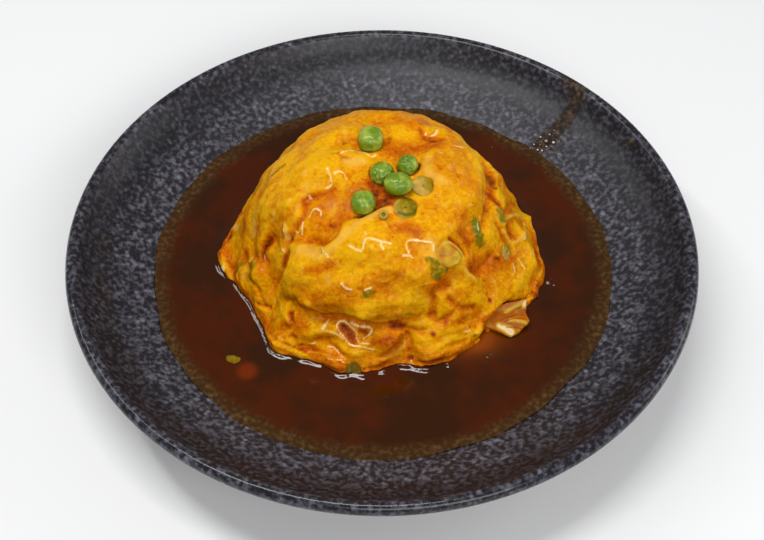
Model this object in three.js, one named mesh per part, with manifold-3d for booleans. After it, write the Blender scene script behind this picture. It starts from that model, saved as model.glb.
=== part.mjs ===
// Crab omelette over rice: a soft omelette draped over a mound of rice, standing in a pool of
// brown sauce on a round stoneware plate, with green peas, spring onion and flakes of crab.
// Millimetres, +Z up. The origin is the middle of the plate's foot, on the table, and the
// omelette is seen from -Y. Everything rests as served, 0.3 mm clear of what carries it.
import * as THREE from "three";
import { mergeVertices } from "three/addons/utils/BufferGeometryUtils.js";
import Module from "manifold-3d";

const wasm = await Module();
wasm.setup();

// ---- Driving dimensions -------------------------------------------------------------------

const GAP = 0.3; // clearance between pieces that touch on the real dish

const PLATE = {
  radius: 120,
  height: 36,
  lip: 2.6, // radius of the rounded rim
  floor: 13.5, // height of the eating surface
  floorRadius: 71,
  foot: { outer: 60, inner: 53.5, height: 6 },
  segments: 64,
};

const SAUCE = { level: 19.5, radius: 89 }; // the pool's surface and where it meets the plate

const MOUND = {
  centre: [0, 9],
  radii: [60.4, 59.3], // at the level of the sauce
  crown: 72, // height of the top above the table
  skirt: 21, // height of the omelette's edge, just clear of the sauce
  sheet: 84, // length of omelette from the crown to its edge
  flatness: 3.8, // how broad the crown is
  spread: 0.9, // how soon it widens below the crown
  flare: 1.45, // how far the foot spreads
  faces: 15, // subdivisions of each face of the icosahedron it starts from
};

const PEA = { radius: 4.45, facets: 2 };

// ---- Small helpers --------------------------------------------------------------------------

const vec = (x, y, z = 0) => new THREE.Vector3(x, y, z);
const flat = (x, y) => new THREE.Vector2(x, y);
const radians = THREE.MathUtils.degToRad;

// A geometry as a manifold solid, with its shared vertices merged.
function solidOf(geometry) {
  const bare = geometry.index ? geometry.toNonIndexed() : geometry.clone();
  bare.deleteAttribute("normal");
  bare.deleteAttribute("uv");
  const merged = mergeVertices(bare, 1e-4);
  return new wasm.Manifold(
    new wasm.Mesh({
      numProp: 3,
      vertProperties: new Float32Array(merged.attributes.position.array),
      triVerts: new Uint32Array(merged.index.array),
    }),
  );
}

// The largest body of a manifold solid as a geometry. Loose scraps of a cut are left out.
function geometryOf(solid) {
  const bodies = solid.decompose().sort((a, b) => b.volume() - a.volume());
  const mesh = bodies[0].getMesh();
  const geometry = new THREE.BufferGeometry();
  geometry.setAttribute("position", new THREE.BufferAttribute(mesh.vertProperties, 3));
  geometry.setIndex(new THREE.BufferAttribute(mesh.triVerts, 1));
  geometry.computeVertexNormals();
  return geometry;
}

// A profile of (radius, height) points turned about the vertical axis.
function turned(profile, segments) {
  return new THREE.LatheGeometry(profile, segments).rotateX(Math.PI / 2);
}

function node(name, geometry, material) {
  const mesh = new THREE.Mesh(geometry, material);
  mesh.name = name;
  return mesh;
}

// ---- Materials --------------------------------------------------------------------------------

const finish = (color, roughness) =>
  new THREE.MeshStandardMaterial({ color, roughness, metalness: 0 });

const stoneware = finish(0x3b3940, 0.35);
const brownSauce = finish(0x3d1a08, 0.12);
const egg = finish(0xe19a12, 0.25);
const peaGreen = finish(0x6f9c2c, 0.4);
const onionGreen = finish(0x93912e, 0.4);
const crabMeat = finish(0xdcb45c, 0.4);

// ---- Plate ------------------------------------------------------------------------------------

// Where the wall meets the rounded rim, on the side given by the angle round the rim.
function onLip(degrees) {
  const { radius, height, lip } = PLATE;
  const a = radians(degrees);
  return flat(radius - lip + lip * Math.cos(a), height - lip + lip * Math.sin(a));
}

const WALL_STEPS = 7;
const LIP_INSIDE = 132; // degrees round the rim where the inner wall starts
const LIP_OUTSIDE = -48;

// The eating surface from the floor's edge up to the rim: a gentle slope, then a steeper wall.
const insideWall = new THREE.SplineCurve([
  flat(PLATE.floorRadius, PLATE.floor),
  flat(79, 15.2),
  flat(SAUCE.radius, SAUCE.level),
  flat(104, 25.6),
  flat(111, 30.2),
  onLip(LIP_INSIDE),
]);

const outsideWall = new THREE.SplineCurve([
  onLip(LIP_OUTSIDE),
  flat(111, 25),
  flat(96, 17.2),
  flat(78, 10.2),
  flat(PLATE.foot.outer + 1.5, PLATE.foot.height + 0.6),
]);

function plateGeometry() {
  const { foot } = PLATE;
  const profile = [
    flat(0, PLATE.floor),
    ...insideWall.getPoints(WALL_STEPS),
    ...[100, 65, 25, -12].map(onLip),
    ...outsideWall.getPoints(4),
    flat(foot.outer - 0.9, 0.8),
    flat(foot.outer - 1.8, 0),
    flat(foot.inner + 1.2, 0),
    flat(foot.inner, foot.height),
    flat(0, foot.height),
  ];
  return turned(profile.reverse(), PLATE.segments);
}

// ---- Omelette -----------------------------------------------------------------------------------
// A place on the omelette is given on its sheet before it was draped: u to the right and v to
// the back, in millimetres from the crown along the surface.

// Notches and lobes of its outline where it meets the sauce: degrees round from +X.
const OUTLINE = [
  { at: 180, width: 9, out: 3 },
  { at: 209, width: 9, out: -5.2 },
  { at: 233, width: 7, out: 5.5 },
  { at: 260, width: 7, out: 3.6 },
  { at: 276, width: 5, out: -2.4 },
  { at: 321, width: 9, out: -3.4 },
  { at: 346, width: 10, out: 2.8 },
  { at: 48, width: 12, out: -2.5 },
  { at: 78, width: 12, out: 1.5 },
  { at: 112, width: 10, out: -2 },
  { at: 146, width: 12, out: -1.5 },
];

// Edges where one flap of egg lies over another. The line runs along the edge, the flap is on
// the side given by high (1 is left of the line), it stands rise above what it covers, and dies
// away over reach. A groove runs along its foot.
const FOLDS = [
  { name: "front flap, top", high: -1, rise: 3.4, reach: 20, groove: 1.8,
    line: [[-32, -24], [-26, -26.5], [-19, -28.5], [-14, -26], [-11, -23.5], [-5, -22], [2, -19]] },
  { name: "front flap, left", high: 1, rise: 2.4, reach: 14, groove: 1.8,
    line: [[-32, -23], [-32.5, -28], [-35, -31], [-39, -33.5], [-45, -37]] },
  { name: "front flap, foot", high: 1, rise: 3, reach: 10, groove: 2.2,
    line: [[-40, -40.5], [-33, -42.5], [-28, -46.5], [-22, -48.5], [-14, -49.5], [-7, -52.5],
      [4, -52.5], [15, -53.5]] },
  { name: "front flap, right", high: -1, rise: 2.4, reach: 12, groove: 1.8,
    line: [[29, -30], [27, -34], [24, -38], [23, -43.5], [21, -47.5]] },
  { name: "left lobe, inner edge", high: -1, rise: 2.8, reach: 16, groove: 2,
    line: [[-2, -3.5], [-8, -4.5], [-12, -9.5], [-20, -11], [-24, -14.5], [-27, -18.5], [-30, -22.5]] },
  { name: "crown tuck", high: -1, rise: 1.6, reach: 6, groove: 1.2,
    line: [[-15.5, 1.5], [-8.5, 4], [-3, 2.5], [0, -1]] },
  { name: "right panel, inner edge", high: 1, rise: 2.2, reach: 13, groove: 1.4,
    line: [[17.5, 9.5], [13, 0.5], [12, -3.5], [12, -7.5], [9, -13]] },
  { name: "right panel, outer edge", high: -1, rise: 2, reach: 12, groove: 2.4,
    line: [[24, 28], [29, 20.5], [33.5, 15.5], [36, 8.5], [36, -0.5], [36, -8.5], [37, -18]] },
  { name: "right lobe, foot", high: 1, rise: 3.2, reach: 11, groove: 2.2,
    line: [[46.5, -62.5], [47.5, -54], [50.5, -43], [60.5, -37], [74, -31]] },
  { name: "skirt curl", high: 1, rise: 2.4, reach: 7, groove: 1.8,
    line: [[-1, -68], [6, -63], [9, -58], [9, -53.5]] },
  { name: "skirt, right of the curl", high: 1, rise: 1.8, reach: 9, groove: 1.6,
    line: [[9, -54.5], [12, -60], [14, -66], [16, -75]] },
  { name: "skirt, left lobe", high: -1, rise: 2, reach: 9, groove: 1.6,
    line: [[-30, -58], [-22, -60], [-16, -66], [-11, -72]] },
  { name: "left bag", high: -1, rise: 2.2, reach: 8, groove: 1.8,
    line: [[-62, -14], [-55, -19], [-50, -20.5], [-46, -25.5], [-44, -32.5]] },
  { name: "back pleat", high: 1, rise: 2.4, reach: 14, groove: 1.6,
    line: [[-44, 62], [-26, 46], [-14, 36], [0, 32]] },
  { name: "back fold", high: -1, rise: 2.6, reach: 12, groove: 1.6,
    line: [[38, 66], [30, 50], [16, 42], [2, 44]] },
];

// Swellings (rise above zero) and hollows of the surface: middle, half-widths, turn in degrees.
const LOBES = [
  { name: "crown pool", at: [0, -13.5], size: [10, 7], turn: 25, rise: -2.4 },
  { name: "pool arm, left", at: [-17, -21.5], size: [11, 5], turn: 30, rise: -2 },
  { name: "pool arm, back", at: [5.5, 2.5], size: [7, 7], turn: 30, rise: -1.8 },
  { name: "pool, far end", at: [13.5, 12], size: [6, 4], turn: 0, rise: -1.6 },
  { name: "left lobe", at: [-42, -2], size: [14, 22], turn: 12, rise: 1.4 },
  { name: "right panel", at: [21, -12], size: [11, 12], turn: 0, rise: 1 },
  { name: "right shoulder", at: [43, 5.5], size: [5, 12], turn: -10, rise: 2.2 },
  { name: "right lobe", at: [61, -15], size: [11, 15], turn: 20, rise: 3 },
  { name: "spoon", at: [50, -9.5], size: [4, 5], turn: 20, rise: -2.4 },
  { name: "right hollow", at: [38, -27], size: [9, 7], turn: -20, rise: -2.6 },
  { name: "right belly", at: [28, -42.5], size: [7, 6], turn: 0, rise: 1.8 },
  { name: "left pits", at: [-41, -21], size: [3, 5], turn: 20, rise: -2.4 },
  { name: "left bag", at: [-55, -28], size: [8, 9], turn: 0, rise: 1.8 },
  { name: "front belly", at: [-1, -37], size: [22, 10], turn: 0, rise: 1.2 },
  { name: "skirt, left", at: [-46.5, -57], size: [11, 10], turn: -30, rise: 3 },
  { name: "skirt, middle", at: [-20, -71], size: [10, 7], turn: 0, rise: 2.4 },
  { name: "skirt puddle", at: [-11, -55.5], size: [6, 4], turn: -40, rise: -2 },
  { name: "skirt curl", at: [1, -61], size: [7, 5], turn: 0, rise: 1.2 },
  { name: "skirt, right", at: [26.5, -64], size: [12, 9], turn: 10, rise: 3 },
  { name: "back lobe, left", at: [-30, 62], size: [16, 12], turn: 30, rise: 2.4 },
  { name: "back lobe, right", at: [34, 58], size: [14, 12], turn: 0, rise: 2.4 },
  { name: "back hollow", at: [4, 50], size: [8, 9], turn: 0, rise: -2.2 },
];

// The smooth mound under the omelette's relief, at a place on the sheet. Past its edge the sheet
// goes straight down through the sauce.
function mound(u, v) {
  const { centre, radii, crown, skirt, sheet, flatness, flare } = MOUND;
  const along = Math.hypot(u, v) / sheet;
  const round = Math.atan2(v, u);
  const wide = Math.min(Math.sin(Math.min(along, 1) * (Math.PI / 2)) ** MOUND.spread, 1);
  const lift = (1 - wide ** flatness) ** flare;
  let grow = 0;
  for (const { at, width, out } of OUTLINE) {
    const turn = THREE.MathUtils.radToDeg(round) - at;
    const away = THREE.MathUtils.euclideanModulo(turn + 180, 360) - 180;
    grow += out * Math.exp(-((away / width) ** 2)) * Math.min(along, 1) ** 3;
  }
  return vec(
    centre[0] + (radii[0] * wide + grow) * Math.cos(round),
    centre[1] + (radii[1] * wide + grow) * Math.sin(round),
    skirt + (crown - skirt) * lift - Math.max(along - 1, 0) * sheet,
  );
}

const FOLD_SAMPLES = 40;
const FOLD = {
  strength: 1.4, // share of the heights above that it gets
  edge: 1.4, // how fast the flap's edge climbs
  groove: 2.4, // half-width of the groove at its foot
  ends: 0.22, // share of its length over which it dies away at each end
};
for (const fold of FOLDS) {
  const curve = new THREE.SplineCurve(fold.line.map(([u, v]) => flat(u, v)));
  fold.points = curve.getSpacedPoints(FOLD_SAMPLES);
}

// Height that a fold adds at a place on the sheet.
function foldRelief(fold, place) {
  let nearest = 0;
  let distance = Infinity;
  fold.points.forEach((point, i) => {
    const d = point.distanceTo(place);
    if (d < distance) [distance, nearest] = [d, i];
  });
  const before = fold.points[Math.max(nearest - 1, 0)];
  const after = fold.points[Math.min(nearest + 1, FOLD_SAMPLES)];
  const side = Math.sign(after.clone().sub(before).cross(place.clone().sub(fold.points[nearest])));
  const onFlap = side * fold.high > 0;
  const fromEnd = Math.min(nearest, FOLD_SAMPLES - nearest) / FOLD_SAMPLES;
  const taper = FOLD.strength * THREE.MathUtils.smoothstep(fromEnd, 0, FOLD.ends);
  const climb = 1 - Math.exp(-distance / FOLD.edge);
  const swell = onFlap ? fold.rise * climb * Math.exp(-distance / fold.reach) : 0;
  return taper * (swell - fold.groove * Math.exp(-((distance / FOLD.groove) ** 2)));
}

function lobeRelief(lobe, place) {
  const away = place.clone().sub(flat(...lobe.at)).rotateAround(flat(0, 0), -radians(lobe.turn));
  const q = Math.hypot(away.x / lobe.size[0], away.y / lobe.size[1]);
  return lobe.rise * Math.exp(-(q ** 3));
}

// Low waves that keep any stretch from being smooth: radians a millimetre along u and v, height.
const WAVES = [[0.21, 0.33, 0.5], [-0.37, 0.18, 0.4], [0.52, -0.29, 0.3], [0.11, -0.61, 0.3]];

const SETTLE = 0.9; // keeps the folds' swelling within the mound's outline
const AT_FOOT = 0.25; // share of the relief that is left at the omelette's edge

function relief(u, v) {
  const place = flat(u, v);
  const folds = FOLDS.reduce((sum, fold) => sum + foldRelief(fold, place), 0);
  const lobes = LOBES.reduce((sum, lobe) => sum + lobeRelief(lobe, place), 0);
  const waves = WAVES.reduce((sum, [a, b, height], i) => sum + height * Math.sin(a * u + b * v + i), 0);
  const fromFoot = THREE.MathUtils.smoothstep(MOUND.sheet - Math.hypot(u, v), -1, 9);
  return (folds + lobes + waves - SETTLE) * THREE.MathUtils.lerp(AT_FOOT, 1, fromFoot);
}

// The direction out of the mound at a place on the sheet.
function outward(u, v) {
  const STEP = 0.4;
  const across = mound(u + STEP, v).sub(mound(u - STEP, v));
  const back = mound(u, v + STEP).sub(mound(u, v - STEP));
  return across.cross(back).normalize();
}

function surface(u, v, extra = 0) {
  return mound(u, v).addScaledVector(outward(u, v), relief(u, v) + extra);
}

const BASE = PLATE.floor + GAP; // the flat underside, on the plate

const TOP_SHARE = 0.94; // of the way from pole to pole of the icosphere that is sheet and wall

// An icosphere pulled into shape: its upper part is the sheet and the wall below its edge, and
// the rest is the flat underside. Distance from the top pole keeps the triangles even.
function omeletteGeometry(extra = 0) {
  const reach = MOUND.sheet + MOUND.skirt - BASE;
  const middle = vec(...MOUND.centre, BASE);
  const ball = new THREE.IcosahedronGeometry(1, MOUND.faces);
  const places = ball.attributes.position;
  for (let i = 0; i < places.count; i++) {
    const p = vec().fromBufferAttribute(places, i);
    const share = Math.sqrt((1 - p.z) / 2); // 0 at the top pole, 1 at the bottom one
    const round = Math.atan2(p.y, p.x);
    const out = reach * Math.min(share / TOP_SHARE, 1);
    const at = surface(out * Math.cos(round), out * Math.sin(round), extra);
    if (share > TOP_SHARE) at.lerp(middle, (share - TOP_SHARE) / (1 - TOP_SHARE));
    at.z = share > TOP_SHARE ? BASE : Math.max(at.z, BASE);
    places.setXYZ(i, at.x, at.y, at.z);
  }
  return ball;
}

// ---- Toppings -----------------------------------------------------------------------------------

// A frame that stands on the omelette: its z axis points outwards, lift is along it, and turn
// is about it.
function onOmelette({ at, lift = 0, turn = 0, lean = 0 }) {
  const out = outward(...at);
  const aside = vec(1, 0, 0).addScaledVector(out, -out.x).normalize();
  const frame = new THREE.Matrix4().makeBasis(aside, out.clone().cross(aside), out);
  frame.setPosition(surface(...at).addScaledVector(out, lift));
  frame.multiply(new THREE.Matrix4().makeRotationZ(radians(turn)));
  return frame.multiply(new THREE.Matrix4().makeRotationX(radians(lean)));
}

// Peas are nearly round, a little flattened, each its own size.
const PEAS = [
  { at: [-3, 5.5], lift: 2.4, size: [1, 1.02, 1], turn: 10 },
  { at: [0, -5.5], lift: 0.6, size: [1.02, 0.95, 0.95], turn: 40 },
  { at: [4.5, -11.5], lift: 4.2, size: [1.16, 0.94, 0.9], turn: -12 },
  { at: [7, -3], lift: 1.2, size: [0.98, 0.9, 0.88], turn: 60 },
  { at: [-5.5, -17.5], lift: 2.4, size: [0.94, 1, 0.92], turn: 25 },
];

function peaGeometry(pea, extra = 0) {
  const [a, b, c] = pea.size.map((share) => share * PEA.radius + extra);
  return new THREE.IcosahedronGeometry(1, PEA.facets).scale(a, b, c).applyMatrix4(onOmelette(pea));
}

// Slices of spring onion: a short tube, cut across the stalk.
const ONION_SLICES = [
  { at: [7, -19], lift: 0.2, turn: 20, lean: -8, radius: 4.3, hole: 1.3, thick: 2.6 },
  { at: [12, -11], lift: 0.1, turn: 0, lean: 8, radius: 3.8, hole: 1.2, thick: 2.4 },
  { at: [47.5, -19], lift: 0.1, turn: 0, lean: 0, radius: 2.9, hole: 0.9, thick: 2 },
  { at: [-14, -77], lift: 0.3, turn: 0, lean: 18, radius: 3.7, hole: 1.1, thick: 2.4 },
];

function onionGeometry(slice) {
  const { radius, hole, thick } = slice;
  const edge = 0.5;
  const profile = [
    flat(hole, thick / 2 - edge),
    flat(hole + edge, thick / 2),
    flat(radius - edge, thick / 2),
    flat(radius, thick / 2 - edge),
    flat(radius, edge - thick / 2),
    flat(radius - edge, -thick / 2),
    flat(hole, -thick / 2),
    flat(hole, thick / 2 - edge),
  ];
  return turned(profile.reverse(), 12).applyMatrix4(onOmelette(slice));
}

function onionSocket(slice) {
  const { radius, thick } = slice;
  const room = new THREE.CylinderGeometry(radius + GAP, radius + GAP, thick + 2 * GAP, 16);
  return room.rotateX(Math.PI / 2).applyMatrix4(onOmelette(slice));
}

// Flakes of crab. The first lies flat at the end of the front flap.
const CRAB_CHUNK = {
  at: [22.5, -30.5], lift: 0.4, turn: -30, lean: 4, length: 12.5, width: 8.6, thick: 3,
};

function chunkGeometry(extra = 0) {
  const { length, width, thick } = CRAB_CHUNK;
  const ball = new THREE.IcosahedronGeometry(1, 2);
  const places = ball.attributes.position;
  const square = (x) => Math.sign(x) * Math.abs(x) ** 0.62; // rounds a block off
  for (let i = 0; i < places.count; i++) {
    const p = vec().fromBufferAttribute(places, i);
    const taper = 1 - 0.25 * p.x; // narrower at its right end
    places.setXYZ(
      i,
      square(p.x) * (length / 2 + extra),
      square(p.y) * (width / 2 + extra) * taper,
      square(p.z) * (thick / 2 + extra),
    );
  }
  return ball.applyMatrix4(onOmelette(CRAB_CHUNK));
}

// The second is pleated like a fan: it comes out from under the right lobe and spreads over the
// sauce. Its root is hidden in the omelette, and its edge zigzags between ridge and valley.
const CRAB_FLAKE = {
  thick: 1.5,
  length: 14,
  root: [[36, -31.5, 23.6], [37.5, -28.5, 24.6], [40, -25, 25.4]],
  edge: [
    [48.2, -35.2, 20.6],
    [51.6, -33, 20.4],
    [55.4, -29.6, 22.8],
    [54.6, -25.6, 21.4],
    [54.4, -21.6, 26],
  ],
};

// A place along a bent line, at the share t of its points.
function along(points, t) {
  const place = t * (points.length - 1);
  const i = Math.min(Math.floor(place), points.length - 2);
  return vec(...points[i]).lerp(vec(...points[i + 1]), place - i);
}

// A closed thin solid between the root and the edge of the fan, with extra room all round.
function flakeGeometry(extra = 0) {
  const ROWS = 3;
  const COLUMNS = 8;
  const { root, edge, length, thick } = CRAB_FLAKE;
  const past = extra / length;
  const corner = (side) => (row, column) => {
    const [from, to] = [along(root, column / COLUMNS), along(edge, column / COLUMNS)];
    const aside = vec(from.y - to.y, to.x - from.x).normalize();
    return from
      .lerp(to, THREE.MathUtils.lerp(-past, 1 + past, row / ROWS))
      .addScaledVector(aside, (2 * column / COLUMNS - 1) * extra)
      .add(vec(0, 0, side * (thick / 2 + extra)));
  };
  const [top, bottom] = [corner(1), corner(-1)];
  const corners = [];
  const quad = (a, b, c, d) => corners.push(a, b, c, a, c, d);
  for (let i = 0; i < ROWS; i++) {
    for (let j = 0; j < COLUMNS; j++) {
      quad(top(i, j), top(i + 1, j), top(i + 1, j + 1), top(i, j + 1));
      quad(bottom(i, j), bottom(i, j + 1), bottom(i + 1, j + 1), bottom(i + 1, j));
    }
    quad(top(i, 0), bottom(i, 0), bottom(i + 1, 0), top(i + 1, 0));
    quad(top(i + 1, COLUMNS), bottom(i + 1, COLUMNS), bottom(i, COLUMNS), top(i, COLUMNS));
  }
  for (let j = 0; j < COLUMNS; j++) {
    quad(top(0, j + 1), bottom(0, j + 1), bottom(0, j), top(0, j));
    quad(top(ROWS, j), bottom(ROWS, j), bottom(ROWS, j + 1), top(ROWS, j + 1));
  }
  return new THREE.BufferGeometry().setFromPoints(corners);
}

// Chopped onion leaf cooked into the egg, fused to it: place, half-widths, turn.
const LEAF_BITS = [
  { at: [32, -21], size: [1.7, 4, 1.3], turn: 8 },
  { at: [43, -7.5], size: [2.2, 2.8, 1.3], turn: -10 },
  { at: [40.5, 5.5], size: [1.1, 3.2, 1], turn: -10 },
  { at: [19.5, -36.5], size: [2.8, 1.9, 1.1], turn: -20 },
  { at: [-54.5, -20], size: [2.3, 2.6, 1.2], turn: 30 },
  { at: [-61.5, -16.5], size: [1.5, 2.4, 1.1], turn: 10 },
  { at: [-38.5, 12], size: [1.4, 3.6, 1], turn: -40 },
  { at: [-4.5, -43.5], size: [1.7, 1.3, 1], turn: 0 },
  { at: [0.5, -23], size: [1.6, 1.6, 1.2], turn: 0 },
  { at: [40, -53.5], size: [2, 1.4, 1], turn: 30 },
  { at: [-35.5, -47.5], size: [1.1, 2.2, 1], turn: 15 },
  { at: [-11, 5], size: [1.5, 0.9, 0.8], turn: 15 },
  { at: [-33.5, -19], size: [1.4, 2.8, 1.2], turn: 0 },
  { at: [-20, 40], size: [2.6, 1.7, 1], turn: 30 },
  { at: [28, 38], size: [1.8, 2.6, 1], turn: -20 },
  { at: [-52, 34], size: [1.6, 2.4, 1], turn: 40 },
];

function leafBitGeometry(bit) {
  return new THREE.OctahedronGeometry(1, 1).scale(...bit.size).applyMatrix4(onOmelette(bit));
}

// ---- Sauce --------------------------------------------------------------------------------------

// A piece of onion afloat in the pool, away from the omelette.
const FLOATING_BIT = { at: [-55.2, -44.8], size: [2.7, 2, 1.7], turn: -10 };

function floatingGeometry(extra = 0) {
  const [a, b, c] = FLOATING_BIT.size.map((half) => half + extra);
  return new THREE.IcosahedronGeometry(1, 1)
    .scale(a, b, c)
    .rotateZ(radians(FLOATING_BIT.turn))
    .translate(...FLOATING_BIT.at, SAUCE.level - 0.6);
}

// The whole pool, before the omelette and the bits that stand in it are cut out.
function poolGeometry() {
  const bed = insideWall.getPoints(WALL_STEPS).filter((p) => p.y < SAUCE.level - 2 * GAP);
  const profile = [
    flat(0, BASE),
    ...bed.map((p) => flat(p.x, p.y + GAP)),
    flat(SAUCE.radius - 1, SAUCE.level),
    flat(0, SAUCE.level),
  ];
  return turned(profile, PLATE.segments);
}

// ---- The dish -------------------------------------------------------------------------------------

const joined = (solid, geometry) => solid.add(solidOf(geometry));
const without = (solid, geometry) => solid.subtract(solidOf(geometry));

const studded = LEAF_BITS.map(leafBitGeometry).reduce(joined, solidOf(omeletteGeometry()));
const omelette = [
  ...PEAS.map((pea) => peaGeometry(pea, GAP)),
  ...ONION_SLICES.map(onionSocket),
  chunkGeometry(GAP),
  flakeGeometry(GAP),
].reduce(without, studded);

const sauce = [
  omeletteGeometry(GAP),
  floatingGeometry(GAP),
  flakeGeometry(GAP),
  onionSocket(ONION_SLICES[3]),
].reduce(without, solidOf(poolGeometry()));

const dish = new THREE.Group();
dish.add(node("plate", plateGeometry(), stoneware));
dish.add(node("sauce", geometryOf(sauce), brownSauce));
dish.add(node("omelette", geometryOf(omelette), egg));
PEAS.forEach((pea, i) => dish.add(node(`pea_${i + 1}`, peaGeometry(pea), peaGreen)));
ONION_SLICES.forEach((slice, i) => {
  dish.add(node(`onion_slice_${i + 1}`, onionGeometry(slice), onionGreen));
});
dish.add(node("crab_chunk", chunkGeometry(), crabMeat));
dish.add(node("crab_flake", flakeGeometry(), crabMeat));
dish.add(node("floating_onion", floatingGeometry(), onionGreen));

export default dish;
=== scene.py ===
# %% [markdown]
# # Crab omelette over rice
# A soft omelette is draped over a mound of rice, in a pool of brown sauce on a dark stoneware plate. Peas, spring
# onion and crab lie on it. The solids come packed with their sizes and places. This notebook gives them the surface
# that light meets: folds, wrinkles, glaze, grain and colour. It opens the solids first and keeps their outer box,
# because what is made here has to stay inside it.

# %% Open the solids
import math
import random

import bpy
import numpy as np
from mathutils import Matrix, Vector, noise
from mathutils.kdtree import KDTree


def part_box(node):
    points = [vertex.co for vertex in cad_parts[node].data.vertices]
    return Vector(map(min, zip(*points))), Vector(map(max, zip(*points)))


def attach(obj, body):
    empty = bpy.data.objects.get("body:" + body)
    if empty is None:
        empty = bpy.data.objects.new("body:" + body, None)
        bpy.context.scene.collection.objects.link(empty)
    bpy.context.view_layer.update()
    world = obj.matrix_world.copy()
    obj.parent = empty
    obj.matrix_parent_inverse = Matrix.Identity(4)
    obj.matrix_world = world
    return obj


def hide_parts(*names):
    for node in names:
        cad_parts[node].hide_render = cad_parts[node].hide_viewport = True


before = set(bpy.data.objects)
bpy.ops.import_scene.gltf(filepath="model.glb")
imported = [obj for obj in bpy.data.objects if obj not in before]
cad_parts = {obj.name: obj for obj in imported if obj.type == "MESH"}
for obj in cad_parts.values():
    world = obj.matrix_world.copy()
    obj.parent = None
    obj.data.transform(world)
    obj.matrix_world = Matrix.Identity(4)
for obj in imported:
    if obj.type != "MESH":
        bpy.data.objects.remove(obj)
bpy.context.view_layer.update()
MM = 0.001
rng = random.Random(7)

# %% [markdown]
# Most pieces are shaped with the usual operators, which act on whatever is selected. So one helper deselects all and
# takes the pieces it is given, one runs edit-mode operators on all of a piece, and one applies a modifier. Two more
# read and write all corners of a mesh at once, in millimetres, for the sculpting that no operator does.

# %% Helpers for modelling
def take(*pieces):
    bpy.ops.object.select_all(action="DESELECT")
    for piece in pieces:
        piece.select_set(True)
    bpy.context.view_layer.objects.active = pieces[0]


def edit(piece, *steps):
    take(piece)
    bpy.ops.object.mode_set(mode="EDIT")
    bpy.ops.mesh.select_mode(type="VERT")
    bpy.ops.mesh.select_all(action="SELECT")
    for step, settings in steps:
        step(**settings)
    bpy.ops.object.mode_set(mode="OBJECT")
    return piece


def modify(piece, kind, **settings):
    take(piece)
    modifier = piece.modifiers.new(kind.title(), kind)
    for name, value in settings.items():
        setattr(modifier, name, value)
    bpy.ops.object.modifier_apply(modifier=modifier.name)


def settle(piece):
    """Writes a piece's place, turn and scale into its mesh."""
    take(piece)
    bpy.ops.object.transform_apply(location=True, rotation=True, scale=True)


def made(add, name, **settings):
    """What an add operator makes, under a name."""
    add(**settings)
    bpy.context.object.name = name
    return bpy.context.object


def corners(piece):
    places = np.empty(len(piece.data.vertices) * 3)
    piece.data.vertices.foreach_get("co", places)
    return places.reshape(-1, 3) / MM


def move(piece, places):
    piece.data.vertices.foreach_set("co", (places * MM).ravel())
    piece.data.update()


def outward(piece):
    ways = np.empty(len(piece.data.vertices) * 3)
    piece.data.vertices.foreach_get("normal", ways)
    return ways.reshape(-1, 3)


def brush(piece, name, amounts):
    """Paints an amount onto each corner, or one amount onto all of them."""
    layer = piece.data.attributes.new(name, "FLOAT", "POINT")
    layer.data.foreach_set("value", np.full(len(layer.data), amounts, np.float32))


MERGE = (bpy.ops.mesh.remove_doubles, {"threshold": 1e-6})


def linked(name, mesh):
    piece = bpy.data.objects.new(name, mesh)
    bpy.context.scene.collection.objects.link(piece)
    return piece


def copied(node, name):
    piece = linked(name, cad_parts[node].data.copy())
    piece.data.materials.clear()
    return edit(piece, MERGE)


def facing(place, way):
    """Puts a flat piece at a place, with its top facing a way."""
    return Matrix.Translation(place) @ Vector(way).to_track_quat("Z", "Y").to_matrix().to_4x4()


def rough(places, size, seed):
    """Smooth noise from -1 to 1 at places in mm, with lumps about size mm across."""
    shift = Vector((seed * 17.3, seed * 5.1, seed * 9.7))
    return np.array([noise.noise(Vector(place / size) + shift) for place in places]) * 1.6


def hang(piece, slot, *nodes):
    """Finishes a piece: it rides on the dish, stands for its solids and takes a finish."""
    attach(piece, "root")
    if nodes:
        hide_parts(*nodes)
    piece.data.materials.clear()
    piece.data.materials.append(FINISHES[slot].material)
    take(piece)
    bpy.ops.object.shade_smooth()
    print(piece.name, len(piece.data.polygons), "faces")


def soft_step(amount, low, high):
    """0 below low, 1 above high, and smooth in between."""
    share = np.clip((amount - low) / (high - low), 0, 1)
    return share * share * (3 - 2 * share)

# %% [markdown]
# A finish is a tree of shader nodes. Written out link by link it is long and hard to read, so one small class wraps a
# socket and lets sums be written as sums. Colours are mixed, never added, because a Math node turns them grey.

# %% Helpers for finishes
class Paint:
    def __init__(self, finish, socket):
        self.finish = finish
        self.socket = socket

    def sum(self, operation, *terms):
        return self.finish.node("ShaderNodeMath", {"operation": operation}, dict(enumerate(terms)))

    def __add__(self, other):
        return self.sum("ADD", self, other)

    def __sub__(self, other):
        return self.sum("SUBTRACT", self, other)

    def __rsub__(self, other):
        return self.sum("SUBTRACT", other, self)

    def __mul__(self, other):
        return self.sum("MULTIPLY", self, other)

    def least(self, other):
        return self.sum("MINIMUM", self, other)

    def most(self, other):
        return self.sum("MAXIMUM", self, other)

    def between(self, low, high, start=0, end=1):
        settings = {"interpolation_type": "SMOOTHSTEP"}
        return self.finish.node("ShaderNodeMapRange", settings, {0: self, 1: low, 2: high, 3: start, 4: end})

    __radd__ = __add__
    __rmul__ = __mul__


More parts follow.
